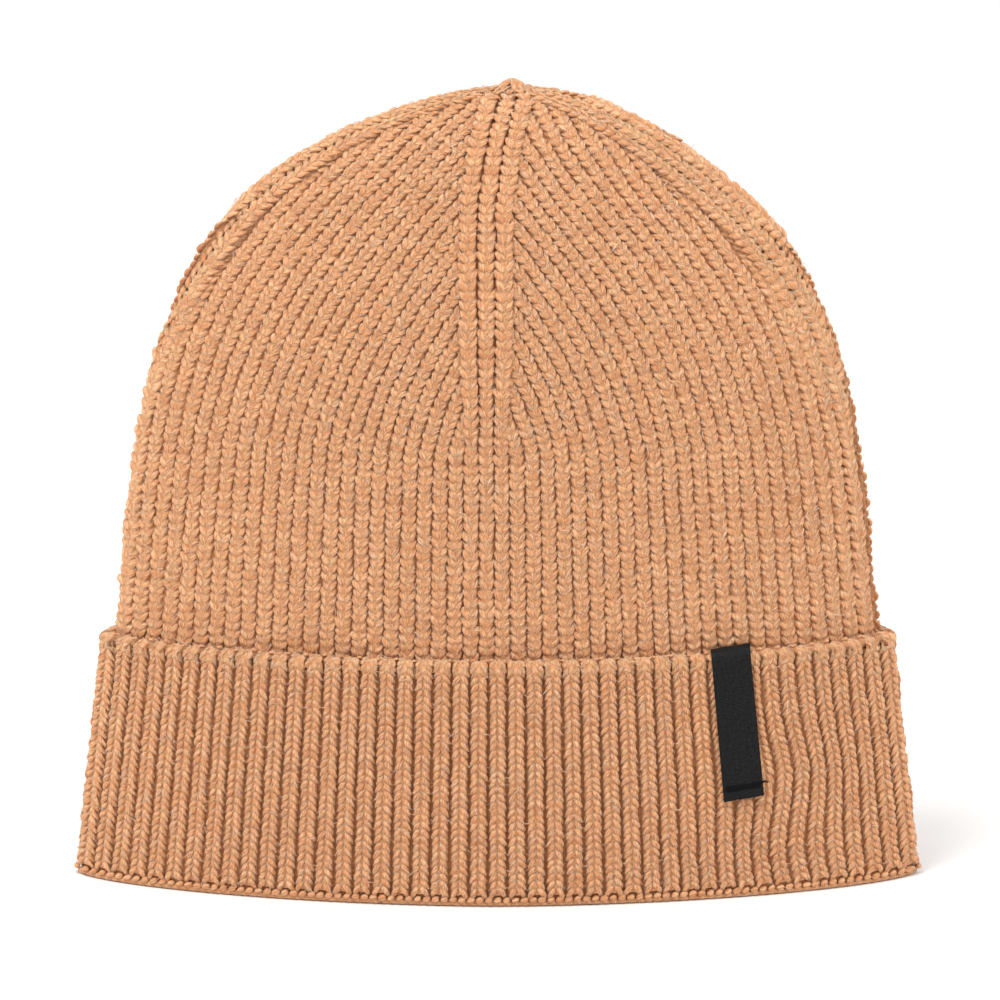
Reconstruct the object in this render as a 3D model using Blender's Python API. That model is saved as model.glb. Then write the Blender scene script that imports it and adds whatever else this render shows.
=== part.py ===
"""A cuffed rib-knit hat.

The crown is knitted in four gores that run into raised darts, and is closed at the top by a
yarn knot. The cuff is turned up from a fold, where a linking chain joins it to the crown. A
sewn seam closes crown and cuff at the back, and a ribbon label is folded over the cuff's top
edge and held by a bar tack.

Metres, +Z up. The hat stands on the fold of its cuff, with its front towards -Y.
"""

import math

import bmesh
import bpy
import numpy as np

# Overall sizes, in metres
HAT_HEIGHT = 0.203
CUFF_HEIGHT = 0.0625
FOOT_WIDTH = 0.213
FOOT_DEPTH = 0.076
CUFF_TOP_WIDTH = 0.199
CUFF_TOP_DEPTH = 0.073

# Knitted fabric
KNIT_THICKNESS = 0.0032
FOLD_THICKNESS = 0.0032
RIB_RELIEF = 0.0014
DART_RELIEF = 0.0018
DART_RISE = 0.0006
CROWN_TOP_THICKNESS = 0.006
DART_START_HEIGHT = 0.113
GORE_BEND_HEIGHT = 0.169
LAYER_GAP = 0.0012
SEAT_GAP = 0.0003
FOLD_EDGE = 0.0008

# Linking chain along the fold
CHAIN_RADIUS = 0.0009
CHAIN_HEIGHT = 0.003
CHAIN_BED = 0.0016

# Knot of yarn that closes the crown
KNOT_RADIUS = 0.0045
KNOT_HEIGHT = 0.0022

# Back seam
SEAM_WIDTH = 0.004
SEAM_THICKNESS = 0.0018
SEAM_THREAD_RADIUS = 0.0004
SEAM_THREAD_END = 0.003

# Ribbon label and its bar tack
LABEL_WIDTH = 0.0105
LABEL_LENGTH = 0.037
LABEL_THICKNESS = 0.0005
LABEL_FROM_FRONT = 0.0578
TACK_WIDTH = 0.008
TACK_HEIGHT = 0.0016
TACK_FROM_END = 0.0035
TACK_THREAD_RADIUS = 0.0003

# Form of the section, which two shallow faces make: y = (1 - x ** bend) ** close
SECTION_BEND = 1.7
SECTION_CLOSE = 0.66

# Form of the crown's rise, with a straight taper across its width: r = (1 - u ** bend) ** close
CROWN_TAPER = 0.12
WIDTH_BEND = 3.8
WIDTH_CLOSE = 0.58
DEPTH_BEND = 3.0
DEPTH_CLOSE = 0.55

# Counts
GORES = 4
GORE_RIBS = 21
DART_RIBS = 3
KNOT_LOBES = 12
TACK_STITCHES = 5

# Facets
PLAIN_COLUMNS = 52
BODY_ROWS = 4
ROLL_STEPS = 4
LABEL_COLUMNS = 3
KNOT_ROWS = 4
STITCH_POINTS = 8
SHARP_ANGLE = math.radians(40)
HALVINGS = 40
SHARE_STEP = 0.001
HEIGHT_STEP = 0.0001
ROW_SPACING = 0.0008
INNER_RISES = (0.2, 0.4, 0.57, 0.71, 0.82, 0.9, 0.96, 0.99)
SEAM_TOP_RISE = 0.9

# Sizes that follow from those above
RIBS = GORES * (GORE_RIBS + DART_RIBS)
LINES = 2 * RIBS
QUARTER_LINES = LINES // GORES
SIDE_EDGE_LINE = QUARTER_LINES - DART_RIBS
CROWN_TOP = HAT_HEIGHT - KNOT_HEIGHT - SEAT_GAP
INNER_TOP = CROWN_TOP - CROWN_TOP_THICKNESS
CROWN_FOOT = FOLD_THICKNESS + SEAT_GAP
CROWN_INSET = KNIT_THICKNESS + LAYER_GAP
FOLD_REACH = CROWN_INSET + KNIT_THICKNESS
ROLL_RADIUS = KNIT_THICKNESS / 2
BED_LOW = CHAIN_HEIGHT - CHAIN_RADIUS - SEAT_GAP
BED_HIGH = CHAIN_HEIGHT + CHAIN_RADIUS + SEAT_GAP

# Colours, linear RGB
CAMEL_WOOL = (0.58, 0.30, 0.15)
PALE_CAMEL_WOOL = (0.62, 0.34, 0.18)
BLACK_SATIN = (0.012, 0.012, 0.013)
BLACK_THREAD = (0.02, 0.02, 0.021)


def clear_scene():
    """Remove whatever the open file holds."""
    for item in list(bpy.data.objects):
        bpy.data.objects.remove(item, do_unlink=True)


def cloth_material(name, colour, roughness):
    """A plain cloth finish."""
    material = bpy.data.materials.new(name)
    material.use_nodes = True
    shader = material.node_tree.nodes["Principled BSDF"]
    shader.inputs["Base Color"].default_value = (*colour, 1.0)
    shader.inputs["Roughness"].default_value = roughness
    shader.inputs["Metallic"].default_value = 0.0
    return material


def section(half_width, half_depth, shares):
    """Points round the hat, at shares of a turn counted from the front towards +X.

    Even shares are even steps across the width, so ribs look evenly spaced from the front.
    """
    quarter_on = np.mod(np.asarray(shares, dtype=float) + 0.25, 1.0)
    across = 1.0 - np.abs(4.0 * quarter_on - 2.0)
    depth = half_depth * np.maximum(1.0 - np.abs(across) ** SECTION_BEND, 0.0) ** SECTION_CLOSE
    return half_width * across, np.where(quarter_on < 0.5, -depth, depth)


def plain_shares():
    """Shares of the plain columns, closer together at the sides, where the section turns."""
    turn = 2.0 * math.pi * np.arange(PLAIN_COLUMNS) / PLAIN_COLUMNS
    across = np.sin(turn) / 4
    return np.where(np.cos(turn) > 0.0, np.mod(across, 1.0), 0.5 - across)


def cuff_axes(z, inset=0.0):
    """Half-width and half-depth of the cuff at a height, some way in from its outer face."""
    share = min(max(z / CUFF_HEIGHT, 0.0), 1.0)
    width = FOOT_WIDTH + share * (CUFF_TOP_WIDTH - FOOT_WIDTH)
    depth = FOOT_DEPTH + share * (CUFF_TOP_DEPTH - FOOT_DEPTH)
    return width / 2 - inset, depth / 2 - inset


def crown_axes(z, wall=0.0, top=CROWN_TOP):
    """Half-width and half-depth of the crown's outer face, or of a face one wall inside it."""
    width, depth = cuff_axes(z, CROWN_INSET + wall)
    rise = min(max((z - CUFF_HEIGHT) / (top - CUFF_HEIGHT), 0.0), 1.0)
    taper = 1.0 - CROWN_TAPER * rise
    wide = width * taper * (1.0 - rise ** WIDTH_BEND) ** WIDTH_CLOSE
    deep = depth * (1.0 - rise ** DEPTH_BEND) ** DEPTH_CLOSE
    return wide, deep


def inner_axes(z):
    """Half-width and half-depth of the crown's inner face."""
    return crown_axes(z, KNIT_THICKNESS, INNER_TOP)


def chain_bed_axes(z):
    """Half-width and half-depth of the bed that the linking chain lies in."""
    return cuff_axes(z, CHAIN_BED)


def level_points(axes, z, shares):
    """Points at one height, on the section with those axes."""
    x, y = section(*axes, shares)
    return np.stack((x, y, np.full_like(x, z)), axis=1)


def face_points(axes, z, shares, sink=0.0):
    """Points of a face at one height, each moved in by its sink along the face's normal."""
    shares = np.asarray(shares, dtype=float)
    after = level_points(axes(z), z, shares + SHARE_STEP)
    before = level_points(axes(z), z, shares - SHARE_STEP)
    here = level_points(axes(z), z, shares)
    below = level_points(axes(z - HEIGHT_STEP), z - HEIGHT_STEP, shares)
    normal = np.cross(after - before, here - below)
    normal /= np.linalg.norm(normal, axis=1)[:, None]
    return here - normal * np.broadcast_to(sink, shares.shape)[:, None]


def cuff_points(z, shares, inset):
    """Points of the cuff at one height, in from its outer face by an inset."""
    inset = np.broadcast_to(inset, np.shape(shares))
    return level_points(cuff_axes(z, inset), z, shares)


def last_height(holds, low, high):
    """Greatest height, between two, up to which something holds."""
    for _ in range(HALVINGS):
        middle = (low + high) / 2
        if holds(middle):
            low = middle
        else:
            high = middle
    return low


def rib_pitch(z):
    """Width of one rib across the crown: it narrows with the crown, but not within the darts."""
    return 2 * crown_axes(min(z, DART_START_HEIGHT))[0] / QUARTER_LINES


def lead_width(z):
    """Half-width that the gores' ribs run along: the crown's own, then on along its tangent."""
    if z <= GORE_BEND_HEIGHT:
        return crown_axes(z)[0]
    bend = crown_axes(GORE_BEND_HEIGHT)[0]
    slope = (bend - crown_axes(GORE_BEND_HEIGHT - HEIGHT_STEP)[0]) / HEIGHT_STEP
    return bend + slope * (z - GORE_BEND_HEIGHT)


def lead_stretch(z):
    """How much further apart level steps between ribs are where the ribs lean."""
    slope = (lead_width(z) - lead_width(z - HEIGHT_STEP)) / HEIGHT_STEP
    return math.hypot(1.0, slope)


def line_across(line, z):
    """Distance from the middle of the front or back to one rib line of a quarter.

    Even lines are the crests of ribs and odd lines the valleys between them. The first few
    lines belong to the dart in the middle of the front or back, the last few to the side dart.
    """
    pitch = rib_pitch(z)
    if line <= DART_RIBS:
        return line * pitch / 2
    if line >= SIDE_EDGE_LINE:
        return crown_axes(z)[0] - (QUARTER_LINES - line) * pitch / 2
    edge = lead_width(z) - DART_RIBS * pitch / 2
    stretch = lead_stretch(max(z, DART_START_HEIGHT)) / lead_stretch(DART_START_HEIGHT)
    return edge - (SIDE_EDGE_LINE - line) * pitch / 2 * stretch


def line_runs(line, z):
    """Whether a quarter's rib line still runs at a height, or has gone under a dart."""
    if line <= DART_RIBS or line >= SIDE_EDGE_LINE or z <= DART_START_HEIGHT:
        return True
    margin = rib_pitch(z) / 8
    across = line_across(line, z)
    low = line_across(DART_RIBS, z) + margin
    high = line_across(SIDE_EDGE_LINE, z) - margin
    return low < across < high


def gore_top():
    """Height at which the darts have met and no gore is left between them."""
    darts_meet = DART_RIBS * rib_pitch(DART_START_HEIGHT)
    return last_height(lambda z: crown_axes(z)[0] > darts_meet, DART_START_HEIGHT, CROWN_TOP)


def add_ring(mesh, points, fractions):
    """Vertices for one ring, each with its share of a turn."""
    return [(share, mesh.verts.new(point)) for share, point in zip(fractions, points)]


def zip_rings(mesh, lower, upper):
    """Triangles between two rings that may differ in count, facing out when upper is above."""
    i, j = 0, 0
    while i < len(lower) or j < len(upper):
        next_low = lower[(i + 1) % len(lower)]
        next_up = upper[(j + 1) % len(upper)]
        low_share = next_low[0] + (i + 1) // len(lower)
        up_share = next_up[0] + (j + 1) // len(upper)
        here_low = lower[i % len(lower)][1]
        here_up = upper[j % len(upper)][1]
        if j >= len(upper) or (i < len(lower) and low_share <= up_share):
            mesh.faces.new((here_low, next_low[1], here_up))
            i += 1
        else:
            mesh.faces.new((here_low, next_up[1], here_up))
            j += 1


def finish_mesh(mesh, name, material, parent):
    """Turn an editing mesh into a named, shaded object."""
    data = bpy.data.meshes.new(name)
    mesh.to_mesh(data)
    mesh.free()
    data.shade_smooth()
    data.set_sharp_from_angle(angle=SHARP_ANGLE)
    return place(bpy.data.objects.new(name, data), material, parent)


def place(item, material, parent):
    """Link an object to the scene under its parent, with its finish."""
    item.data.materials.append(material)
    bpy.context.scene.collection.objects.link(item)
    item.parent = parent
    return item


def thread(name, points, radius, closed, material, parent):
    """A round thread along points, as a bevelled curve."""
    curve = bpy.data.curves.new(name, "CURVE")
    curve.dimensions = "3D"
    curve.bevel_depth = radius
    curve.bevel_resolution = 1
    curve.use_fill_caps = not closed
    spline = curve.splines.new("POLY")
    spline.points.add(len(points) - 1)
    for knot, point in zip(spline.points, points):
        knot.co = (*point, 1.0)
    spline.use_cyclic_u = closed
    return place(bpy.data.objects.new(name, curve), material, parent)


def crown_row(mesh, z):
    """One row of the crown's outer face: a vertex for each rib line that still runs there."""
    half_width = crown_axes(z)[0]
    lines, shares, sinks = [], [], []
    for line in range(LINES):
        quarter, within = divmod(line, QUARTER_LINES)
        if quarter % 2:
            within = QUARTER_LINES - within
        if not line_runs(within, z):
            continue
        across = line_across(within, z) / half_width / 4
        start = (quarter + 1) // 2 / 2
        lines.append(line)
        shares.append(start - across if quarter % 2 else start + across)
        sinks.append(rib_sink(within, z))
    points = face_points(crown_axes, z, shares, np.array(sinks))
    return [(line, mesh.verts.new(point)) for line, point in zip(lines, points)]


def rib_sink(line, z):
    """How far a quarter's rib line lies in from the crown's face; a dart stands proud of it."""
    from_dart = min(line, QUARTER_LINES - line)
    if z <= DART_START_HEIGHT or from_dart >= DART_RIBS:
        return RIB_RELIEF * (line % 2)
    return DART_RELIEF if from_dart % 2 else -DART_RISE * min(from_dart, 1)


def join_crown_rows(mesh, lower, upper):
    """Skin one row of rib lines to the next; a line that ends between them ends in a point."""
    lower = [*lower, (LINES, lower[0][1])]
    upper = [*upper, (LINES, upper[0][1])]
    up = 0
    for (_, here), (line, after) in zip(lower, lower[1:]):
        if upper[up + 1][0] == line:
            mesh.faces.new((here, after, upper[up + 1][1], upper[up][1]))
            up += 1
        else:
            mesh.faces.new((here, after, upper[up][1]))


def crown_heights():
    """Heights of the crown's rows: a few up the body, then one where each rib ends at a dart."""
    top = gore_top()
    valleys = range(DART_RIBS + 2, SIDE_EDGE_LINE, 2)
    heights = [CROWN_FOOT, *np.linspace(CUFF_HEIGHT, DART_START_HEIGHT, BODY_ROWS)]
    ends = [
        last_height(lambda z, line=line: line_runs(line, z), DART_START_HEIGHT, top)
        for line in valleys
    ]
    for z in sorted(end + HEIGHT_STEP for end in ends):
        if z - heights[-1] > ROW_SPACING and top - z > ROW_SPACING:
            heights.append(z)
    return [*heights, top]


def make_crown(material, parent):
    """The knitted crown: ribbed outside in gores and darts, plain inside, open below."""
    mesh = bmesh.new()
    rows = [crown_row(mesh, z) for z in crown_heights()]
    rows.append(knot_seat(mesh, [line for line, _ in rows[-1]]))
    for lower, upper in zip(rows, rows[1:]):
        join_crown_rows(mesh, lower, upper)
    mesh.faces.new([vertex for _, vertex in rows[-1]])

    shares = plain_shares()
    inner = [add_ring(mesh, face_points(inner_axes, z, shares), shares) for z in inner_heights()]
    for lower, upper in zip(inner, inner[1:]):
        zip_rings(mesh, upper, lower)
    mesh.faces.new([vertex for _, vertex in reversed(inner[-1])])
    zip_rings(mesh, inner[0], [(line / LINES, vertex) for line, vertex in rows[0]])
    return finish_mesh(mesh, "crown", material, parent)


def knot_seat(mesh, lines):
    """The ring at the very top of the crown, drawn in to the knot that sits on it."""
    seat = []
    for k, line in enumerate(lines):
        turn = 2.0 * math.pi * k / len(lines)
        point = (KNOT_RADIUS * math.sin(turn), -KNOT_RADIUS * math.cos(turn), CROWN_TOP)
        seat.append((line, mesh.verts.new(point)))
    return seat


def inner_heights():
    """Heights of the rings on the crown's inner face."""
    rise = INNER_TOP - CUFF_HEIGHT
    return [CROWN_FOOT, CUFF_HEIGHT, *(CUFF_HEIGHT + share * rise for share in INNER_RISES)]


def make_cuff(material, parent):
    """The turned-up cuff: a ribbed wall with a rolled top edge, on a fold that carries the crown."""
    mesh = bmesh.new()
    plain = plain_shares()
    ribbed = np.arange(LINES) / LINES
    valleys = RIB_RELIEF * (np.arange(LINES) % 2)
    roll_z = CUFF_HEIGHT - ROLL_RADIUS

    profile = [
        (plain, 2 * FOLD_EDGE, 0.0),
        (plain, FOLD_EDGE, FOLD_EDGE),
        (plain, FOLD_EDGE, BED_LOW),
        (plain, CHAIN_BED, BED_LOW),
        (plain, CHAIN_BED, BED_HIGH),
        (ribbed, valleys, BED_HIGH),
        (ribbed, valleys, roll_z),
    ]
    for step in range(1, ROLL_STEPS):
        angle = math.pi * step / ROLL_STEPS
        inset = ROLL_RADIUS * (1.0 - math.cos(angle))
        z = roll_z + ROLL_RADIUS * math.sin(angle)
        columns, relief = (ribbed, valleys) if angle < math.pi / 2 else (plain, 0.0)
        profile.append((columns, inset + relief, z))
    profile += [
        (plain, KNIT_THICKNESS, roll_z),
        (plain, KNIT_THICKNESS, FOLD_THICKNESS),
        (plain, FOLD_REACH, FOLD_THICKNESS),
        (plain, FOLD_REACH, FOLD_EDGE),
        (plain, FOLD_REACH - FOLD_EDGE, 0.0),
    ]
    rings = [add_ring(mesh, cuff_points(z, shares, inset), shares) for shares, inset, z in profile]
    for lower, upper in zip(rings, rings[1:] + rings[:1]):
        zip_rings(mesh, lower, upper)
    return finish_mesh(mesh, "cuff", material, parent)


def make_hem_chain(material, parent):
    """The chain of linking yarn that lies in its bed along the fold."""
    shares = plain_shares()
    clear = CHAIN_RADIUS + SEAT_GAP
    points = face_points(chain_bed_axes, CHAIN_HEIGHT, shares, -clear)
    return thread("hem_chain", points, CHAIN_RADIUS, True, material, parent)


def make_crown_knot(material, parent):
    """The gathered knot on top of the crown, with a lobe for each rib drawn into it."""
    mesh = bmesh.new()
    columns = 2 * KNOT_LOBES
    base = CROWN_TOP + SEAT_GAP
    rings = []
    for row in range(KNOT_ROWS):
        angle = 0.5 * math.pi * row / KNOT_ROWS
        ring = []
        for column in range(columns):
            turn = 2.0 * math.pi * column / columns
            lobe = 1.0 if column % 2 else 1.0 - RIB_RELIEF / KNOT_RADIUS
            reach = KNOT_RADIUS * math.cos(angle) * lobe
            z = base + KNOT_HEIGHT * math.sin(angle)
            ring.append(mesh.verts.new((reach * math.cos(turn), reach * math.sin(turn), z)))
        rings.append(ring)
    tip = mesh.verts.new((0.0, 0.0, base + KNOT_HEIGHT))
    for lower, upper in zip(rings, rings[1:]):
        for k in range(columns):
            after = (k + 1) % columns
            mesh.faces.new((lower[k], lower[after], upper[after], upper[k]))
    for k in range(columns):
        mesh.faces.new((rings[-1][k], rings[-1][(k + 1) % columns], tip))
    mesh.faces.new(list(reversed(rings[0])))
    return finish_mesh(mesh, "crown_knot", material, parent)


def make_crown_back_seam(material, parent):
    """The seam allowance along the middle of the back, on the crown's inner face."""
    mesh = bmesh.new()
    highest = CUFF_HEIGHT + SEAM_TOP_RISE * (INNER_TOP - CUFF_HEIGHT)
    heights = [z for z in inner_heights() if z <= highest]
    sections = []
    for z in heights:
        half = SEAM_WIDTH / 2 / inner_axes(z)[0] / 4
        shares = np.array((0.5 - half, 0.5 + half))
        outer = face_points(inner_axes, z, shares, SEAT_GAP)
        inner = face_points(inner_axes, z, shares, SEAT_GAP + SEAM_THICKNESS)
        corners = (outer[0], outer[1], inner[1], inner[0])
        sections.append([mesh.verts.new(corner) for corner in corners])
    for lower, upper in zip(sections, sections[1:]):
        for k in range(len(lower)):
            after = (k + 1) % len(lower)
            mesh.faces.new((lower[k], lower[after], upper[after], upper[k]))
    mesh.faces.new(list(reversed(sections[0])))
    mesh.faces.new(sections[-1])
    return finish_mesh(mesh, "crown_back_seam", material, parent)


def make_cuff_back_seam(material, parent):
    """The linking thread that closes the cuff, in the groove beside the middle rib of the back."""
    share = np.array((0.5 + 0.5 / RIBS,))
    low = BED_HIGH + SEAM_THREAD_END
    high = CUFF_HEIGHT - ROLL_RADIUS - SEAM_THREAD_END
    inset = RIB_RELIEF - SEAT_GAP - SEAM_THREAD_RADIUS
    points = [cuff_points(z, share, inset)[0] for z in np.linspace(low, high, BODY_ROWS)]
    return thread("cuff_back_seam", points, SEAM_THREAD_RADIUS, False, material, parent)


def label_share():
    """Share of a turn at the label's middle, which follows one rib down the cuff."""
    return LABEL_FROM_FRONT / cuff_axes(CUFF_HEIGHT)[0] / 4


def label_span(width):
    """Share of a turn that a width across the label takes up on the cuff."""
    near = label_share() + np.array((-SHARE_STEP, SHARE_STEP))
    ends = cuff_points(CUFF_HEIGHT, near, 0.0)
    return width * 2 * SHARE_STEP / np.linalg.norm(ends[1] - ends[0])


def label_path(clearance):
    """Inset and height along the label: up the cuff's face, over its edge, down behind it."""
    roll_z = CUFF_HEIGHT - ROLL_RADIUS
    end_z = CUFF_HEIGHT - LABEL_LENGTH
    reach = ROLL_RADIUS + clearance
    path = [(-clearance, end_z)]
    for step in range(2 * ROLL_STEPS + 1):
        angle = math.pi * step / (2 * ROLL_STEPS)
        inset = ROLL_RADIUS - reach * math.cos(angle)
        path.append((inset, roll_z + reach * math.sin(angle)))
    path.append((KNIT_THICKNESS + clearance, end_z))
    return path


def make_label(material, parent):
    """The ribbon label, folded over the cuff's top edge."""
    mesh = bmesh.new()
    half = label_span(LABEL_WIDTH) / 2
    shares = label_share() + np.linspace(-half, half, LABEL_COLUMNS + 1)
    layers = []
    for clearance in (SEAT_GAP, SEAT_GAP + LABEL_THICKNESS):
        rows = []
        for inset, z in label_path(clearance):
            rows.append([mesh.verts.new(p) for p in cuff_points(z, shares, inset)])
        layers.append(rows)
    under, over = layers
    last = LABEL_COLUMNS
    for r in range(len(over) - 1):
        for k in range(last):
            mesh.faces.new((over[r][k], over[r][k + 1], over[r + 1][k + 1], over[r + 1][k]))
            mesh.faces.new((under[r][k], under[r + 1][k], under[r + 1][k + 1], under[r][k + 1]))
        mesh.faces.new((over[r][0], over[r + 1][0], under[r + 1][0], under[r][0]))
        mesh.faces.new((over[r][last], under[r][last], under[r + 1][last], over[r + 1][last]))
    for k in range(last):
        mesh.faces.new((over[0][k], under[0][k], under[0][k + 1], over[0][k + 1]))
        mesh.faces.new((over[-1][k], over[-1][k + 1], under[-1][k + 1], under[-1][k]))
    return finish_mesh(mesh, "label", material, parent)


def make_label_stitching(material, parent):
    """The bar tack across the label near its lower end, as one thread sewn to and fro."""
    count = TACK_STITCHES * STITCH_POINTS + 1
    span = label_span(TACK_WIDTH)
    middle = CUFF_HEIGHT - LABEL_LENGTH + TACK_FROM_END
    inset = -(2 * SEAT_GAP + LABEL_THICKNESS + TACK_THREAD_RADIUS)
    points = []
    for k in range(count):
        progress = k / (count - 1)
        share = label_share() + (progress - 0.5) * span
        sway = math.sin(2.0 * math.pi * TACK_STITCHES * progress)
        z = middle + TACK_HEIGHT / 2 * sway
        points.append(cuff_points(z, np.array((share,)), inset)[0])
    return thread("label_stitching", points, TACK_THREAD_RADIUS, False, material, parent)


def main():
    clear_scene()
    hat = bpy.data.objects.new("hat", None)
    bpy.context.scene.collection.objects.link(hat)

    wool = cloth_material("camel_wool_rib_knit", CAMEL_WOOL, 0.95)
    cuff_wool = cloth_material("camel_wool_turned_cuff", CAMEL_WOOL, 0.95)
    chain_wool = cloth_material("camel_wool_linking_yarn", PALE_CAMEL_WOOL, 0.92)
    knot_wool = cloth_material("camel_wool_gathered_yarn", CAMEL_WOOL, 0.95)
    seam_wool = cloth_material("camel_wool_seam", CAMEL_WOOL, 0.95)
    thread_wool = cloth_material("camel_wool_seam_thread", CAMEL_WOOL, 0.95)
    ribbon = cloth_material("black_satin_ribbon", BLACK_SATIN, 0.45)
    sewing_thread = cloth_material("black_polyester_thread", BLACK_THREAD, 0.6)

    make_crown(wool, hat)
    make_cuff(cuff_wool, hat)
    make_hem_chain(chain_wool, hat)
    make_crown_knot(knot_wool, hat)
    make_crown_back_seam(seam_wool, hat)
    make_cuff_back_seam(thread_wool, hat)
    make_label(ribbon, hat)
    make_label_stitching(sewing_thread, hat)


main()
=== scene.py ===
import math

import bmesh
import bpy
import numpy as np
from bpy.props import FloatProperty, FloatVectorProperty, IntProperty, PointerProperty
from bpy.types import Operator, Panel, PropertyGroup
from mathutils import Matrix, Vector


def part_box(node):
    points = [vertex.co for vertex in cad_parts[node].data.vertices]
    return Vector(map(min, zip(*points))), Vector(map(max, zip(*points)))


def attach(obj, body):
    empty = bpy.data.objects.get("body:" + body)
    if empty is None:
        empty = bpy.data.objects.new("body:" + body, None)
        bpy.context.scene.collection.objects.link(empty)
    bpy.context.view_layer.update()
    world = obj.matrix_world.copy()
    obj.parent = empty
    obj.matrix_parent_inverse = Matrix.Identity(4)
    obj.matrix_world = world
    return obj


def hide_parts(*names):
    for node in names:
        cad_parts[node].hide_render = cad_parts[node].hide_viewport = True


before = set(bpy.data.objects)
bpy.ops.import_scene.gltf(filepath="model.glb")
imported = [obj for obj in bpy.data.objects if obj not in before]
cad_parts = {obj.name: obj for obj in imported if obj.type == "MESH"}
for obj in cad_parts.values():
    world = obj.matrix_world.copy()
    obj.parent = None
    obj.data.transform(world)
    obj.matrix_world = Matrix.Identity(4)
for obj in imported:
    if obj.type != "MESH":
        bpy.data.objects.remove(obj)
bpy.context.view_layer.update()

bl_info = {
    "name": "Cuffed rib-knit hat",
    "version": (1, 0, 0),
    "blender": (4, 5, 0),
    "location": "3D View > Sidebar > Hat",
    "description": "Knits a cuffed wool hat stitch by stitch, with its ribbon label and its stage",
    "category": "Object",
}

CROWN_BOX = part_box("crown")
CUFF_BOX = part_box("cuff")

QUARTERS = 4
DART_RIBS = 3
FRONT_QUARTERS = (0, 3)
QUARTER_NAMES = ("front_right", "back_right", "back_left", "front_left")
DART_NAMES = ("front", "right", "back", "left")


def linear(code):
    """A colour written as sRGB hex, turned to linear light."""
    channels = [int(code[k:k + 2], 16) / 255 for k in (1, 3, 5)]
    return tuple(c / 12.92 if c <= 0.04045 else ((c + 0.055) / 1.055) ** 2.4 for c in channels)


def length(name, default, description):
    """A size that a user would change, in metres."""
    return FloatProperty(name=name, default=default, description=description, unit="LENGTH", precision=5)


def number(name, default, description):
    """A share, a slope or a bend that a user would change."""
    return FloatProperty(name=name, default=default, description=description, min=0.0)


def angle(name, degrees, description):
    """An angle that a user would change."""
    return FloatProperty(name=name, default=math.radians(degrees), description=description, subtype="ANGLE")


def whole_number(name, default, description):
    """A count or a choice that a user would change."""
    return IntProperty(name=name, default=default, description=description, min=0)


def colour(name, code, description):
    """A colour that a user would change."""
    return FloatVectorProperty(
        name=name, default=linear(code), description=description, subtype="COLOR", min=0.0, max=1.0
    )


class HatForm(PropertyGroup):
    """Sizes of the hat's form, measured over the crests of its ribs."""

    crown_top: length("Crown top", CROWN_BOX[1].z, "Height where the ribs are drawn together")
    cuff_height: length("Cuff height", CUFF_BOX[1].z, "Height of the cuff's rolled edge")
    foot_width: length("Foot width", 0.2148, "Width across the cuff's fold")
    foot_depth: length("Foot depth", 0.076, "Depth from front to back at the cuff's fold")
    cuff_top_width: length("Cuff top width", 0.2008, "Width across the cuff's rolled edge")
    cuff_top_depth: length("Cuff top depth", 0.073, "Depth from front to back at the rolled edge")
    crown_inset: length("Crown inset", 0.0048, "How far the crown's face lies inside the cuff's")
    knit_thickness: length("Knit thickness", 0.0032, "Thickness of the rib knit")
    dart_start: length("Dart start", 0.113, "Height where the darts begin to swallow ribs")
    gore_bend: length("Gore bend", 0.169, "Height above which the gores' ribs run straight")
    section_bend: number("Section bend", 1.7, "Fullness of front and back")
    section_close: number("Section close", 0.66, "Roundness of the sides")
    crown_taper: number("Crown taper", 0.12, "Narrowing up the crown")
    crown_tuck: number("Crown tuck", 0.010, "Share by which the crown narrows under the raised darts")
    width_bend: number("Width bend", 3.8, "Squareness of the shoulders")
    width_close: number("Width close", 0.58, "Bluntness of the top")
    depth_bend: number("Depth bend", 3.0, "Squareness of the shoulders, seen from the side")
    depth_close: number("Depth close", 0.55, "Bluntness of the top, seen from the side")
    apex_lean: length("Apex lean", 0.0036, "How far the top leans to the right, as it was laid")
    apex_lean_from: length("Apex lean from", 0.170, "Height where the top begins to lean")
    crown_turn: length("Crown turn", -0.0028, "How far the front dart lies off the middle")
    right_dart_from: length("Right dart from", 0.139, "Height where the right dart comes forward")
    right_dart_forward: number("Right dart forward", 0.22, "Share of the half-width it has come at the top")
    right_dart_curve: number("Right dart curve", 2.1, "How late the right dart comes forward")
    left_dart_from: length("Left dart from", 0.135, "Height where the left dart comes forward")
    left_dart_forward: number("Left dart forward", 0.100, "Share of the half-width it has come at the top")
    left_dart_curve: number("Left dart curve", 1.2, "How late the left dart comes forward")


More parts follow.
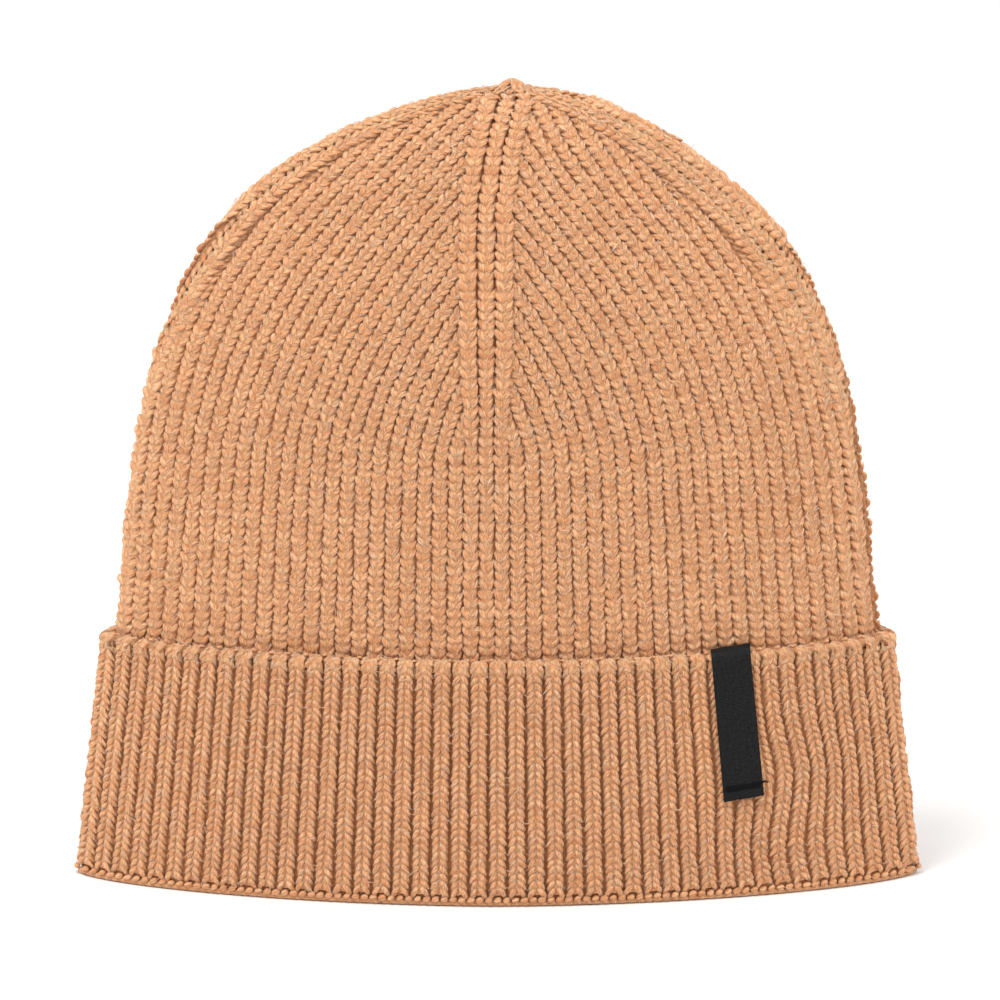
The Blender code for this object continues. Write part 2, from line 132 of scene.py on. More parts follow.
class HatKnit(PropertyGroup):
    """Sizes and counts of the knitting."""

    gore_ribs: whole_number("Gore ribs", 21, "Ribs in each gore")
    crown_course: length("Crown course", 0.00215, "Height of one row of stitches in the crown")
    cuff_course: length("Cuff course", 0.00185, "Height of one row of stitches in the cuff")
    rib_width: length("Rib width", 0.00395, "Width of one rib that the stitch is drawn for")
    dart_course: length("Dart course", 0.0024, "Height of one row of stitches in a dart")
    course_lead: number("Course lead", 0.75, "How far rows of stitches stay square to leaning ribs")
    rib_share: number("Rib share", 0.97, "Share of a rib's pitch that its stitches fill")
    gore_spread: number("Gore spread", 0.12, "How much further apart leaning ribs lie, measured level")
    dart_rise: length("Dart rise", 0.0009, "How far a dart's outer ribs stand proud")
    side_dart_rise: length("Side dart rise", 0.0012, "How far the side darts' ribs stand proud")
    side_dart_from: length("Side dart from", 0.140, "Height where the side darts begin to stand proud")
    side_dart_blend: length("Side dart blend", 0.028, "Height over which the side darts rise")
    dart_sink: length("Dart sink", 0.0006, "How far the front and back darts' middle rib lies behind")
    dart_blend: length("Dart blend", 0.012, "Height over which a dart rises out of the plain ribs")
    dart_fullness: number("Dart fullness", 0.20, "How much wider a dart's ribs grow than the plain ribs")
    dart_share: number("Dart share", 0.97, "Share of a dart rib's pitch that its stitches fill")
    dart_full: length("Dart full", 0.150, "Height where a dart's ribs are at their widest")
    core_depth: length("Core depth", 0.00138, "Depth of a rib's core below its crest")
    core_thickness: length("Core thickness", 0.0021, "Thickness of a rib's core")
    core_share: number("Core share", 0.84, "Share of a rib's width that its core fills")
    cuff_core_depth: length("Cuff core depth", 0.00178, "Depth of a cuff rib's core below its crest")
    cuff_core_share: number("Cuff core share", 0.94, "Share of a cuff rib's width that its core fills")
    ground_depth: length("Ground depth", 0.0015, "Depth of the grooves between the crown's ribs")
    cuff_groove: length("Cuff groove", 0.0021, "Depth of the grooves between the cuff's ribs")
    cuff_inset: length("Cuff inset", 0.0002, "How far the cuff's stitches lie inside its face")
    cuff_rib_share: number("Cuff rib share", 0.85, "Share of the cuff's rib pitch that stitches cover")
    cuff_front: number("Cuff front", 0.064, "How much wider ribs are on the front than evenly spread ones")
    cuff_fullness: number("Cuff fullness", 0.03, "How much wider still ribs are in the middle")
    side_fullness: number("Side fullness", 0.2, "How much further ribs fill their pitch at the two sides")
    edge_fullness: number("Edge fullness", 0.10, "How much ribs spread at the rolled edge and the hem")
    rib_sway: length("Rib sway", 0.0019, "How far the cuff's ribs bow beside the label's stitched end")
    edge_radius: length("Edge radius", 0.0020, "Radius of the cuff's rolled edge")
    edge_blend: length("Edge blend", 0.0025, "Height over which the cuff's ribs spread")
    turn_jitter: angle("Turn jitter", 8.0, "How unevenly stitches are turned")
    size_jitter: number("Size jitter", 0.11, "How unevenly stitches are sized")
    seed: whole_number("Seed", 7, "Choice of unevenness")


class HatTrim(PropertyGroup):
    """Sizes of the label, its stitching and the wool's fuzz."""

    label_width: length("Label width", 0.0103, "Width of the ribbon")
    label_length: length("Label length", 0.037, "Length of ribbon that shows on the cuff's face")
    label_thickness: length("Label thickness", 0.0004, "Thickness of the ribbon")
    label_lift: length("Label lift", 0.0008, "Gap between the cuff's face and the ribbon")
    label_from_front: length("Label from front", 0.0578, "Distance from the middle of the front")
    label_tilt: number("Label tilt", 0.09, "Slope of the label's fold and cut end, as it was sewn on")
    label_lean: length("Label lean", 0.0011, "How far the label's cut end lies aside of its fold")
    tack_width: length("Tack width", 0.0088, "Width of the bar tack")
    tack_height: length("Tack height", 0.0013, "Height of the bar tack")
    tack_from_end: length("Tack from end", 0.0030, "Distance from the ribbon's cut end to the bar tack")
    tack_stitches: whole_number("Tack stitches", 22, "Stitches in the bar tack")
    thread_width: length("Thread width", 0.00034, "Width of the sewing thread")
    tail_length: length("Tail length", 0.0020, "Length of the sewing thread's loose end")
    crown_fibres: whole_number("Crown fibres", 10000, "Loose fibres on a quarter of the crown")
    cuff_fibres: whole_number("Cuff fibres", 5600, "Loose fibres on a quarter of the cuff")
    fuzz_length: length("Fuzz length", 0.0019, "Length of a loose fibre")
    stray_share: number("Stray share", 0.2, "Share of fibres that lie any way round")
    leg_jitter: angle("Leg jitter", 14.0, "How unevenly fibres lie along a leg")
    fuzz_tilt: angle("Fuzz tilt", 25.0, "How steeply stray fibres stand up")


class HatColours(PropertyGroup):
    """Colours of the hat and its stage."""

    # Painted highlight: the loose fibres' colour, paler than the yarn for the light they catch; also the
    # tint of the wool's sheen
    wool_fuzz: colour("Wool fuzz", "#E9CFB6", "Loose fibres that catch the light")
    # Partly the yarn's palest fibres, partly painted highlight on the raised fibres
    wool_light: colour("Wool light", "#E0B58D", "Palest fibres of the yarn")
    wool: colour("Wool", "#D1966A", "Camel wool")
    # Painted shade: the wool darkened as it looks deep in the grooves and inside the hat, for the ground
    # behind the stitches
    wool_painted_shade: colour("Wool painted shade", "#A56D46", "Camel wool deep in the grooves")
    # Partly the yarn's darker fibres, partly painted shade in the dips between fibres; also the paler colour
    # of the grooves' painted shade
    wool_dark: colour("Wool dark", "#BD7F53", "Camel wool between the fibres")
    ribbon: colour("Ribbon", "#121213", "Black satin ribbon")
    thread: colour("Thread", "#101011", "Black sewing thread")
    floor: colour("Floor", "#E8E7E6", "Pale floor")


def settings():
    """The settings of the hat's form, of its knitting and of its colours."""
    scene = bpy.context.scene
    return scene.hat_form, scene.hat_knit, scene.hat_colours


# Form of the hat

APEX_WIDTH = 0.040
TUCK_FROM = 0.135
TUCK_BLEND = 0.030


def section(half_width, half_depth, shares):
    """Points round the hat, at shares of a turn counted from the front towards +X."""
    form = bpy.context.scene.hat_form
    quarter_on = np.mod(np.asarray(shares, dtype=float) + 0.25, 1.0)
    across = 1.0 - np.abs(4.0 * quarter_on - 2.0)
    full = np.maximum(1.0 - np.abs(across) ** form.section_bend, 0.0) ** form.section_close
    return half_width * across, np.where(quarter_on < 0.5, -half_depth * full, half_depth * full)


def cuff_axes(z, inset=0.0):
    """Half-width and half-depth of the cuff at heights, some way in from its outer face."""
    form = bpy.context.scene.hat_form
    share = np.clip(z / form.cuff_height, 0.0, 1.0)
    width = form.foot_width + share * (form.cuff_top_width - form.foot_width)
    depth = form.foot_depth + share * (form.cuff_top_depth - form.foot_depth)
    return width / 2 - inset, depth / 2 - inset


def crown_axes(z, inset=0.0):
    """Half-width and half-depth of the crown at heights, some way in from its outer face."""
    form = bpy.context.scene.hat_form
    width, depth = cuff_axes(z, form.crown_inset + inset)
    top = form.crown_top - inset
    rise = np.clip((z - form.cuff_height) / (top - form.cuff_height), 0.0, 1.0)
    wide = (1.0 - form.crown_taper * rise) * (1.0 - rise ** form.width_bend) ** form.width_close
    wide = wide * (1.0 - form.crown_tuck * eased((z - TUCK_FROM) / TUCK_BLEND))
    deep = (1.0 - rise ** form.depth_bend) ** form.depth_close
    return width * wide, depth * deep


def eased(t):
    """A step from nought to one with soft ends."""
    t = np.clip(t, 0.0, 1.0)
    return t * t * (3.0 - 2.0 * t)


def forward_share(quarter, z):
    """Share of the half-width by which a quarter's side dart lies on the front, as the hat was laid."""
    form = bpy.context.scene.hat_form
    start, most, curve = form.left_dart_from, form.left_dart_forward, form.left_dart_curve
    if quarter < QUARTERS // 2:
        start, most, curve = form.right_dart_from, form.right_dart_forward, form.right_dart_curve
    return most * np.clip((z - start) / (form.crown_top - start), 0.0, 1.0) ** curve


def quarter_lines():
    """How many rib lines a quarter of the hat has: a crest and a valley for each rib."""
    return 2 * (bpy.context.scene.hat_knit.gore_ribs + DART_RIBS)


def rib_lines(quarter):
    """Lines of the ribs that a quarter owns: a rib between two quarters belongs to one of them."""
    return range(2 if quarter % 2 else 0, quarter_lines() + quarter % 2, 2)


def rib_pitch(z):
    """Width of one rib across the gores."""
    form = bpy.context.scene.hat_form
    return 2.0 * crown_axes(np.minimum(z, form.dart_start))[0] / quarter_lines()


def dart_pitch(z):
    """Width of one rib of a dart: it grows up the crown, then shrinks where the darts meet."""
    form, knit, _ = settings()
    grown = 1.0 + knit.dart_fullness * eased((z - form.dart_start) / (knit.dart_full - form.dart_start))
    return np.minimum(rib_pitch(z) * grown, crown_axes(z)[0] * (1.0 - forward_share(0, z)) / DART_RIBS)


def lead_width(z):
    """Half-width that the gores' ribs run along: the crown's own, then on along its tangent."""
    form = bpy.context.scene.hat_form
    step = 1e-5
    bend = crown_axes(form.gore_bend)[0]
    slope = (bend - crown_axes(form.gore_bend - step)[0]) / step
    below = np.minimum(z, form.gore_bend)
    return crown_axes(below)[0] + slope * (z - below)


def line_across(line, z):
    """Distance from the middle of the front or back to a rib line of a quarter, at heights."""
    form, knit, _ = settings()
    lines = quarter_lines()
    if line <= DART_RIBS:
        return line * dart_pitch(z) / 2
    if line >= lines - DART_RIBS:
        return crown_axes(z)[0] - (lines - line) * dart_pitch(z) / 2
    pitch = rib_pitch(z)
    edge = lead_width(z) - DART_RIBS * pitch / 2
    stretch = 1.0 + knit.gore_spread * eased((z - form.dart_start) / (form.gore_bend - form.dart_start))
    return edge - (lines - DART_RIBS - line) * pitch / 2 * stretch


def quarter_share(quarter, across):
    """Share of a turn for a share of the half-width, within a quarter of the hat."""
    start = (quarter + 1) // 2 / 2
    return start - across / 4 if quarter % 2 else start + across / 4


def stacked(x, y, z):
    """Coordinates as rows of points."""
    return np.stack(np.broadcast_arrays(x, y, z), axis=-1)


def unit(rows):
    """Vectors brought to length one."""
    return rows / np.maximum(np.linalg.norm(rows, axis=-1, keepdims=True), 1e-12)


def crown_points(shares, z, inset=0.0):
    """Points of the crown's outer face, or some way in from it; the top leans to one side."""
    form = bpy.context.scene.hat_form
    x, y = section(*crown_axes(z, inset), shares)
    lean = form.apex_lean * eased((z - form.apex_lean_from) / (form.crown_top - form.apex_lean_from))
    return stacked(x + lean, y, z)


def crown_normals(shares, z):
    """Outward directions of the crown's outer face."""
    turn, lift = 5e-4, 2e-5
    along = crown_points(shares + turn, z) - crown_points(shares - turn, z)
    upward = crown_points(shares, z) - crown_points(shares, z - lift)
    return unit(np.cross(along, upward))


def line_share(quarter, line, z):
    """Share of a turn at a rib line of a quarter, at heights.

    The side darts lie forward: they cover ribs of the front gores and draw the back gores' along.
    """
    form = bpy.context.scene.hat_form
    half_width = crown_axes(z)[0]
    across = line_across(line, z) / half_width
    if quarter not in FRONT_QUARTERS:
        across = across + forward_share(quarter, z) * np.sin(0.5 * math.pi * across) ** 2
    elif line >= quarter_lines() - DART_RIBS:
        across = across - forward_share(quarter, z)
    return quarter_share(quarter, across) + form.crown_turn / (QUARTERS * np.maximum(half_width, APEX_WIDTH))


def crown_line(quarter, line, z):
    """Points and outward directions along a rib line of the crown."""
    shares = line_share(quarter, line, z)
    return crown_points(shares, z), crown_normals(shares, z)


def run_length(points):
    """Length along points, from the first of them."""
    steps = np.linalg.norm(np.diff(points, axis=0), axis=1)
    return np.concatenate(([0.0], np.cumsum(steps)))


# Meshes

STRAND_MAP = "strand"


def new_mesh():
    """An editing mesh whose UV map holds metres across and along the yarn or cloth."""
    mesh = bmesh.new()
    mesh.loops.layers.uv.new(STRAND_MAP)
    return mesh


def mesh_object(name, mesh):
    """A new object in the scene for a mesh."""
    item = bpy.data.objects.new(name, mesh)
    bpy.context.scene.collection.objects.link(item)
    return item


def finished(item, slot, *nodes):
    """Rides a piece on the hat's one body and hides the solids it stands for; its slot is not used."""
    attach(item, "root")
    if nodes:
        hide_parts(*nodes)
    return item


def sweep(mesh, path, across, up, lift, sides, closed=False):
    """A strand with an oval section along a path; lift gives the way its flatter side faces.

    Its UV map holds metres round the strand and along it, for the fibres in the material.
    """
    path = np.asarray(path, dtype=float)
    count = len(path)
    if closed:
        forward = unit(np.roll(path, -1, axis=0) - np.roll(path, 1, axis=0))
    else:
        forward = unit(np.gradient(path, axis=0))
    lift = np.broadcast_to(np.asarray(lift, dtype=float), path.shape)
    aside = unit(np.cross(forward, lift))
    outward = np.cross(aside, forward)
    across = np.broadcast_to(across, count)
    up = np.broadcast_to(up, count)
    turn = 2.0 * math.pi * np.arange(sides) / sides
    uv = mesh.loops.layers.uv[STRAND_MAP]
    girth = math.pi * float(np.mean(across) + np.mean(up))
    run = run_length(np.concatenate((path, path[:1])) if closed else path)
    rings = []
    for k in range(count):
        ring = (
            path[k]
            + np.outer(np.cos(turn), aside[k]) * across[k]
            + np.outer(np.sin(turn), outward[k]) * up[k]
        )
        rings.append([mesh.verts.new(point) for point in ring])
    spans = count if closed else count - 1
    for k in range(spans):
        lower, upper = rings[k], rings[(k + 1) % count]
        for s in range(sides):
            after = (s + 1) % sides
            face = mesh.faces.new((lower[s], lower[after], upper[after], upper[s]))
            face.smooth = True
            around = (s / sides * girth, (s + 1) / sides * girth)
            corners = ((0, k), (1, k), (1, k + 1), (0, k + 1))
            for loop, (side, row) in zip(face.loops, corners):
                loop[uv].uv = (around[side], run[row])
    if not closed:
        for ring, ends in ((rings[0], True), (rings[-1], False)):
            face = mesh.faces.new(list(reversed(ring)) if ends else ring)
            face.smooth = True
            for loop in face.loops:
                loop[uv].uv = (0.0, 0.0 if ends else run[-1])


def from_bmesh(name, mesh):
    """A mesh data block from an editing mesh, with its faces outwards."""
    bmesh.ops.recalc_face_normals(mesh, faces=mesh.faces)
    data = bpy.data.meshes.new(name)
    mesh.to_mesh(data)
    mesh.free()
    return data


# Legs of a knit stitch, seen from its face: x across the rib and y up the rib, in shares of rib and
# course, then the depth of the strand's middle below the crest. A cuff stitch shows upside down.
CROWN_LEGS = (
    (
        0.00170,
        ((-0.40, 0.74, -0.00145), (-0.35, 0.46, -0.00088), (-0.24, 0.16, -0.00062),
         (-0.10, -0.12, -0.00056), (0.03, -0.40, -0.00100)),
    ),
    (
        0.00138,
        ((0.41, 0.90, -0.0015), (0.37, 0.56, -0.00092), (0.29, 0.20, -0.00066),
         (0.18, -0.10, -0.00060), (0.07, -0.44, -0.00105)),
    ),
)
CUFF_LEGS = (
    (
        0.00138,
        ((-0.40, 0.95, -0.0016), (-0.37, 0.60, -0.00098), (-0.28, 0.20, -0.00062),
         (-0.17, -0.20, -0.00060), (-0.07, -0.60, -0.0012)),
    ),
    (
        0.00124,
        ((0.40, 1.05, -0.0016), (0.37, 0.68, -0.00098), (0.29, 0.24, -0.00064),
         (0.20, -0.16, -0.00064), (0.10, -0.60, -0.0012)),
    ),
)
LEG_SWELL = (0.65, 0.85, 1.0, 1.0, 0.65)
LEG_THICKNESS = 0.00088
LEG_SIDES = 6
BEAD_SWELL = (0.65, 1.0, 1.0, 1.0, 0.65)


def stitch_mesh(name, legs):
    """The two legs of one knit stitch, drawn for the crown's rib width and course."""
    knit = bpy.context.scene.hat_knit
    mesh = new_mesh()
    scale = np.array((knit.rib_width, knit.crown_course, 1.0))
    swell = np.array(LEG_SWELL)
    for width, path in legs:
        across, up = swell * width / 2, swell * LEG_THICKNESS / 2
        sweep(mesh, np.array(path) * scale, across, up, (0.0, 0.0, 1.0), LEG_SIDES)
    return from_bmesh(name, mesh)


def strand_mesh(name, path, width, thickness):
    """One short strand with tapered ends."""
    mesh = new_mesh()
    swell = np.array(BEAD_SWELL)
    sweep(mesh, path, swell * width / 2, swell * thickness / 2, (0.0, 0.0, 1.0), LEG_SIDES)
    return from_bmesh(name, mesh)


# Materials


def set_values(made, values):
    """Sets inputs of a node to constant values."""
    for key, value in values.items():
        made.inputs[key].default_value = value


def node(tree, kind, values=None, links=None, **traits):
    """A node with its settings, its inputs' values and its links from other nodes' outputs."""
    made = tree.nodes.new(kind)
    for name, value in traits.items():
        setattr(made, name, value)
    set_values(made, values or {})
    for key, output in (links or {}).items():
        tree.links.new(output, made.inputs[key])
    return made


def blank_material(name):
    """A node material, its tree and its Principled shader."""
    made = bpy.data.materials.new(name)
    made.use_nodes = True
    return made, made.node_tree, made.node_tree.nodes["Principled BSDF"]


def opaque(code_colour):
    """A colour setting as four numbers."""
    return (*code_colour, 1.0)


def wool_material(name):
    """Camel lambswool, loosely spun in two plies: matt, soft, with fine pale fibres along it."""
    _, _, colours = settings()
    wool, tree, shader = blank_material(name)
    uv = node(tree, "ShaderNodeUVMap", uv_map=STRAND_MAP)
    parts = node(tree, "ShaderNodeSeparateXYZ", links={0: uv.outputs["UV"]})
    tone = node(tree, "ShaderNodeAttribute", attribute_name="tone")

    # Fibres 0.26 mm across and 1.4 mm long, laid slantwise by the twist of the yarn, each strand its own
    across, along, twist, strands_apart = 0.00026, 0.0014, 0.45, 91.0
    slant = node(tree, "ShaderNodeMath", {1: twist}, {0: parts.outputs["Y"]}, operation="MULTIPLY")
    spun = node(tree, "ShaderNodeMath", None, {0: parts.outputs["X"], 1: slant.outputs[0]}, operation="ADD")
    x = node(tree, "ShaderNodeMath", {1: 1 / across}, {0: spun.outputs[0]}, operation="MULTIPLY")
    y = node(tree, "ShaderNodeMath", {1: 1 / along}, {0: parts.outputs["Y"]}, operation="MULTIPLY")
    z = node(tree, "ShaderNodeMath", {1: strands_apart}, {0: tone.outputs["Fac"]}, operation="MULTIPLY")
    place = node(
        tree, "ShaderNodeCombineXYZ", links={"X": x.outputs[0], "Y": y.outputs[0], "Z": z.outputs[0]}
    )
    fibres = node(
        tree, "ShaderNodeTexNoise", {"Scale": 1.0, "Detail": 3.0, "Roughness": 0.6},
        {"Vector": place.outputs[0]},
    )
    # The yarn's colours are partly its fibres' own and partly painted light: the same noise raises the bump,
    # so raised fibres are painted paler, a painted highlight, and the dips between them darker, a painted
    # shade
    shades = node(tree, "ShaderNodeValToRGB", links={0: fibres.outputs["Fac"]})
    ramp = shades.color_ramp
    ramp.elements[0].position, ramp.elements[0].color = 0.38, opaque(colours.wool_dark)
    ramp.elements[1].position, ramp.elements[1].color = 0.63, opaque(colours.wool_light)
    middle = ramp.elements.new(0.5)
    middle.color = opaque(colours.wool)

    # One stitch is a little paler or darker than the next
    bright = node(
        tree, "ShaderNodeMapRange", {"To Min": 0.985, "To Max": 1.015}, {"Value": tone.outputs["Fac"]}
    )
    tinted = node(
        tree, "ShaderNodeVectorMath", None,
        {0: shades.outputs["Color"], 1: bright.outputs[0]}, operation="MULTIPLY",
    )
    bump = node(
        tree, "ShaderNodeBump", {"Strength": 1.0, "Distance": 0.0004}, {"Height": fibres.outputs["Fac"]}
    )
    tree.links.new(tinted.outputs[0], shader.inputs["Base Color"])
    tree.links.new(bump.outputs[0], shader.inputs["Normal"])
    set_values(shader, {
        "Roughness": 0.95, "Specular IOR Level": 0.2,
        "Subsurface Weight": 0.55, "Subsurface Radius": (1.0, 0.6, 0.4), "Subsurface Scale": 0.0010,
        "Sheen Weight": 0.5, "Sheen Roughness": 0.5, "Sheen Tint": opaque(colours.wool_fuzz),
    })
    return wool


def fibre_material(name):
    """Loose lambswool fibres: fine and matt, with a painted highlight that makes them paler than the yarn,
    one a little paler than the next.
    """
    _, _, colours = settings()
    fibre, tree, shader = blank_material(name)
    tone = node(tree, "ShaderNodeAttribute", attribute_name="tone")
    shades = node(tree, "ShaderNodeValToRGB", links={0: tone.outputs["Fac"]})
    shades.color_ramp.elements[0].color = opaque(colours.wool)
    shades.color_ramp.elements[1].color = opaque(colours.wool_fuzz)
    tree.links.new(shades.outputs["Color"], shader.inputs["Base Color"])
    set_values(shader, {"Roughness": 0.9, "Specular IOR Level": 0.2})
    return fibre


def ground_material(name):
    """The wool behind the stitches in painted shade, darker than the yarn as the wool looks deep in the
    grooves and inside the hat: felted, matt, with purl bumps row by row.
    """
    _, knit, colours = settings()
    ground, tree, shader = blank_material(name)
    uv = node(tree, "ShaderNodeUVMap", uv_map=STRAND_MAP)

    # Felted tufts 0.6 mm across in two colours of painted shade, over one purl bump to each row of stitches
    tuft, purl_height = 0.0006, 0.3
    noise = node(
        tree, "ShaderNodeTexNoise", {"Scale": 1 / tuft, "Detail": 3.0, "Roughness": 0.65},
        {"Vector": uv.outputs["UV"]},
    )
    shades = node(tree, "ShaderNodeValToRGB", links={0: noise.outputs["Fac"]})
    ramp = shades.color_ramp
    # Painted shade: both colours are darker than the yarn, as the wool looks deep in the grooves and inside
    # the hat
    ramp.elements[0].position, ramp.elements[0].color = 0.3, opaque(colours.wool_painted_shade)
    ramp.elements[1].position, ramp.elements[1].color = 0.75, opaque(colours.wool_dark)
    parts = node(tree, "ShaderNodeSeparateXYZ", links={0: uv.outputs["UV"]})
    rows = node(
        tree, "ShaderNodeMath", {1: 2.0 * math.pi / knit.cuff_course},
        {0: parts.outputs["Y"]}, operation="MULTIPLY",
    )
    wave = node(tree, "ShaderNodeMath", None, {0: rows.outputs[0]}, operation="SINE")
    height = node(
        tree, "ShaderNodeMath", {1: purl_height}, {0: wave.outputs[0], 2: noise.outputs["Fac"]},
        operation="MULTIPLY_ADD",
    )
    bump = node(
        tree, "ShaderNodeBump", {"Strength": 0.8, "Distance": 0.0006}, {"Height": height.outputs[0]}
    )
    tree.links.new(shades.outputs["Color"], shader.inputs["Base Color"])
    tree.links.new(bump.outputs[0], shader.inputs["Normal"])
    set_values(shader, {
        "Roughness": 0.98, "Specular IOR Level": 0.1,
        "Sheen Weight": 0.15, "Sheen Tint": opaque(colours.wool_fuzz),
    })
    return ground


def ribbon_material(name):
    """Black polyester satin ribbon, finely woven: a soft gleam across the warp."""
    _, _, colours = settings()
    ribbon, tree, shader = blank_material(name)
    uv = node(tree, "ShaderNodeUVMap", uv_map=STRAND_MAP)

    # Warp threads 0.25 mm apart, drawn as coarse as they show, that float for 1.6 mm
    warp, float_length = 0.00025, 0.0016
    stretch = node(
        tree, "ShaderNodeMapping", {"Scale": (1 / warp, 1 / float_length, 1.0)}, {"Vector": uv.outputs["UV"]}
    )
    threads = node(
        tree, "ShaderNodeTexNoise", {"Scale": 1.0, "Detail": 2.0}, {"Vector": stretch.outputs[0]}
    )
    gleam = node(
        tree, "ShaderNodeMapRange", {"To Min": 0.42, "To Max": 0.62}, {"Value": threads.outputs["Fac"]}
    )
    bump = node(
        tree, "ShaderNodeBump", {"Strength": 0.35, "Distance": 0.0001}, {"Height": threads.outputs["Fac"]}
    )

    # Twill lines 0.3 mm apart and about 1 mm long, coarser than real ones so that they show
    line_apart, line_length = 0.0003, 0.001
    slant = node(
        tree, "ShaderNodeMapping",
        {"Rotation": (0.0, 0.0, math.pi / 4), "Scale": (line_apart, line_length, 1.0)},
        {"Vector": uv.outputs["UV"]}, vector_type="TEXTURE",
    )
    twill = node(tree, "ShaderNodeTexNoise", {"Scale": 1.0, "Detail": 1.0}, {"Vector": slant.outputs[0]})
    tone = node(
        tree, "ShaderNodeMapRange", {"From Min": 0.3, "From Max": 0.7, "To Min": 0.1, "To Max": 1.9},
        {"Value": twill.outputs["Fac"]},
    )
    black = node(
        tree, "ShaderNodeHueSaturation", {"Color": opaque(colours.ribbon)}, {"Value": tone.outputs[0]}
    )
    for source, target in ((black, "Base Color"), (gleam, "Roughness"), (bump, "Normal")):
        tree.links.new(source.outputs[0], shader.inputs[target])
    set_values(shader, {"Specular IOR Level": 0.14})
    return ribbon


def thread_material(name):
    """Black spun polyester thread: dull, with a fine twist."""
    _, _, colours = settings()
    thread, tree, shader = blank_material(name)
    uv = node(tree, "ShaderNodeUVMap", uv_map=STRAND_MAP)

    # Plies 0.3 mm across that turn about every 0.5 mm
    ply, turn = 0.0003, 0.0005
    stretch = node(
        tree, "ShaderNodeMapping", {"Scale": (1 / ply, 1 / turn, 1.0)}, {"Vector": uv.outputs["UV"]}
    )
    twist = node(tree, "ShaderNodeTexNoise", {"Scale": 1.0}, {"Vector": stretch.outputs[0]})
    bump = node(
        tree, "ShaderNodeBump", {"Strength": 0.5, "Distance": 0.0001}, {"Height": twist.outputs["Fac"]}
    )
    tree.links.new(bump.outputs[0], shader.inputs["Normal"])
    set_values(shader, {
        "Base Color": opaque(colours.thread), "Roughness": 0.75, "Specular IOR Level": 0.08,
    })
    return thread


def paper_material(name):
    """Matt white paper: a pale floor with a faint grain."""
    _, _, colours = settings()
    paper, tree, shader = blank_material(name)

    # So many grains over the whole width of the floor, too faint to tell one by one
    grains = 900.0
    grain = node(tree, "ShaderNodeTexNoise", {"Scale": grains, "Detail": 2.0})
    bump = node(tree, "ShaderNodeBump", {"Strength": 0.02}, {"Height": grain.outputs["Fac"]})
    tree.links.new(bump.outputs[0], shader.inputs["Normal"])
    set_values(shader, {"Base Color": opaque(colours.floor), "Roughness": 0.9})
    return paper


MATERIALS = {
    "camel_lambswool_yarn": wool_material,
    "camel_lambswool_fibre": fibre_material,
    "camel_lambswool_ground": ground_material,
    "black_satin_ribbon": ribbon_material,
    "black_spun_thread": thread_material,
    "matt_white_paper": paper_material,
}


def material(name):
    """A material of the hat, made the first time it is asked for."""
    return bpy.data.materials.get(name) or MATERIALS[name](name)


def piece(name, mesh, finish, slot, *nodes):
    """A finished piece of the hat from an editing mesh and the name of its material."""
    data = from_bmesh(name, mesh)
    data.materials.append(material(finish))
    return finished(mesh_object(name, data), slot, *nodes)


# Geometry Nodes

STITCH_INPUTS = (
    ("Geometry", "NodeSocketGeometry"),
    ("Stitch", "NodeSocketObject"),
    ("Turn jitter", "NodeSocketFloat"),
    ("Size jitter", "NodeSocketFloat"),
    ("Seed", "NodeSocketInt"),
    ("Yarn", "NodeSocketMaterial"),
)
SIZE_RESEED = 11.0


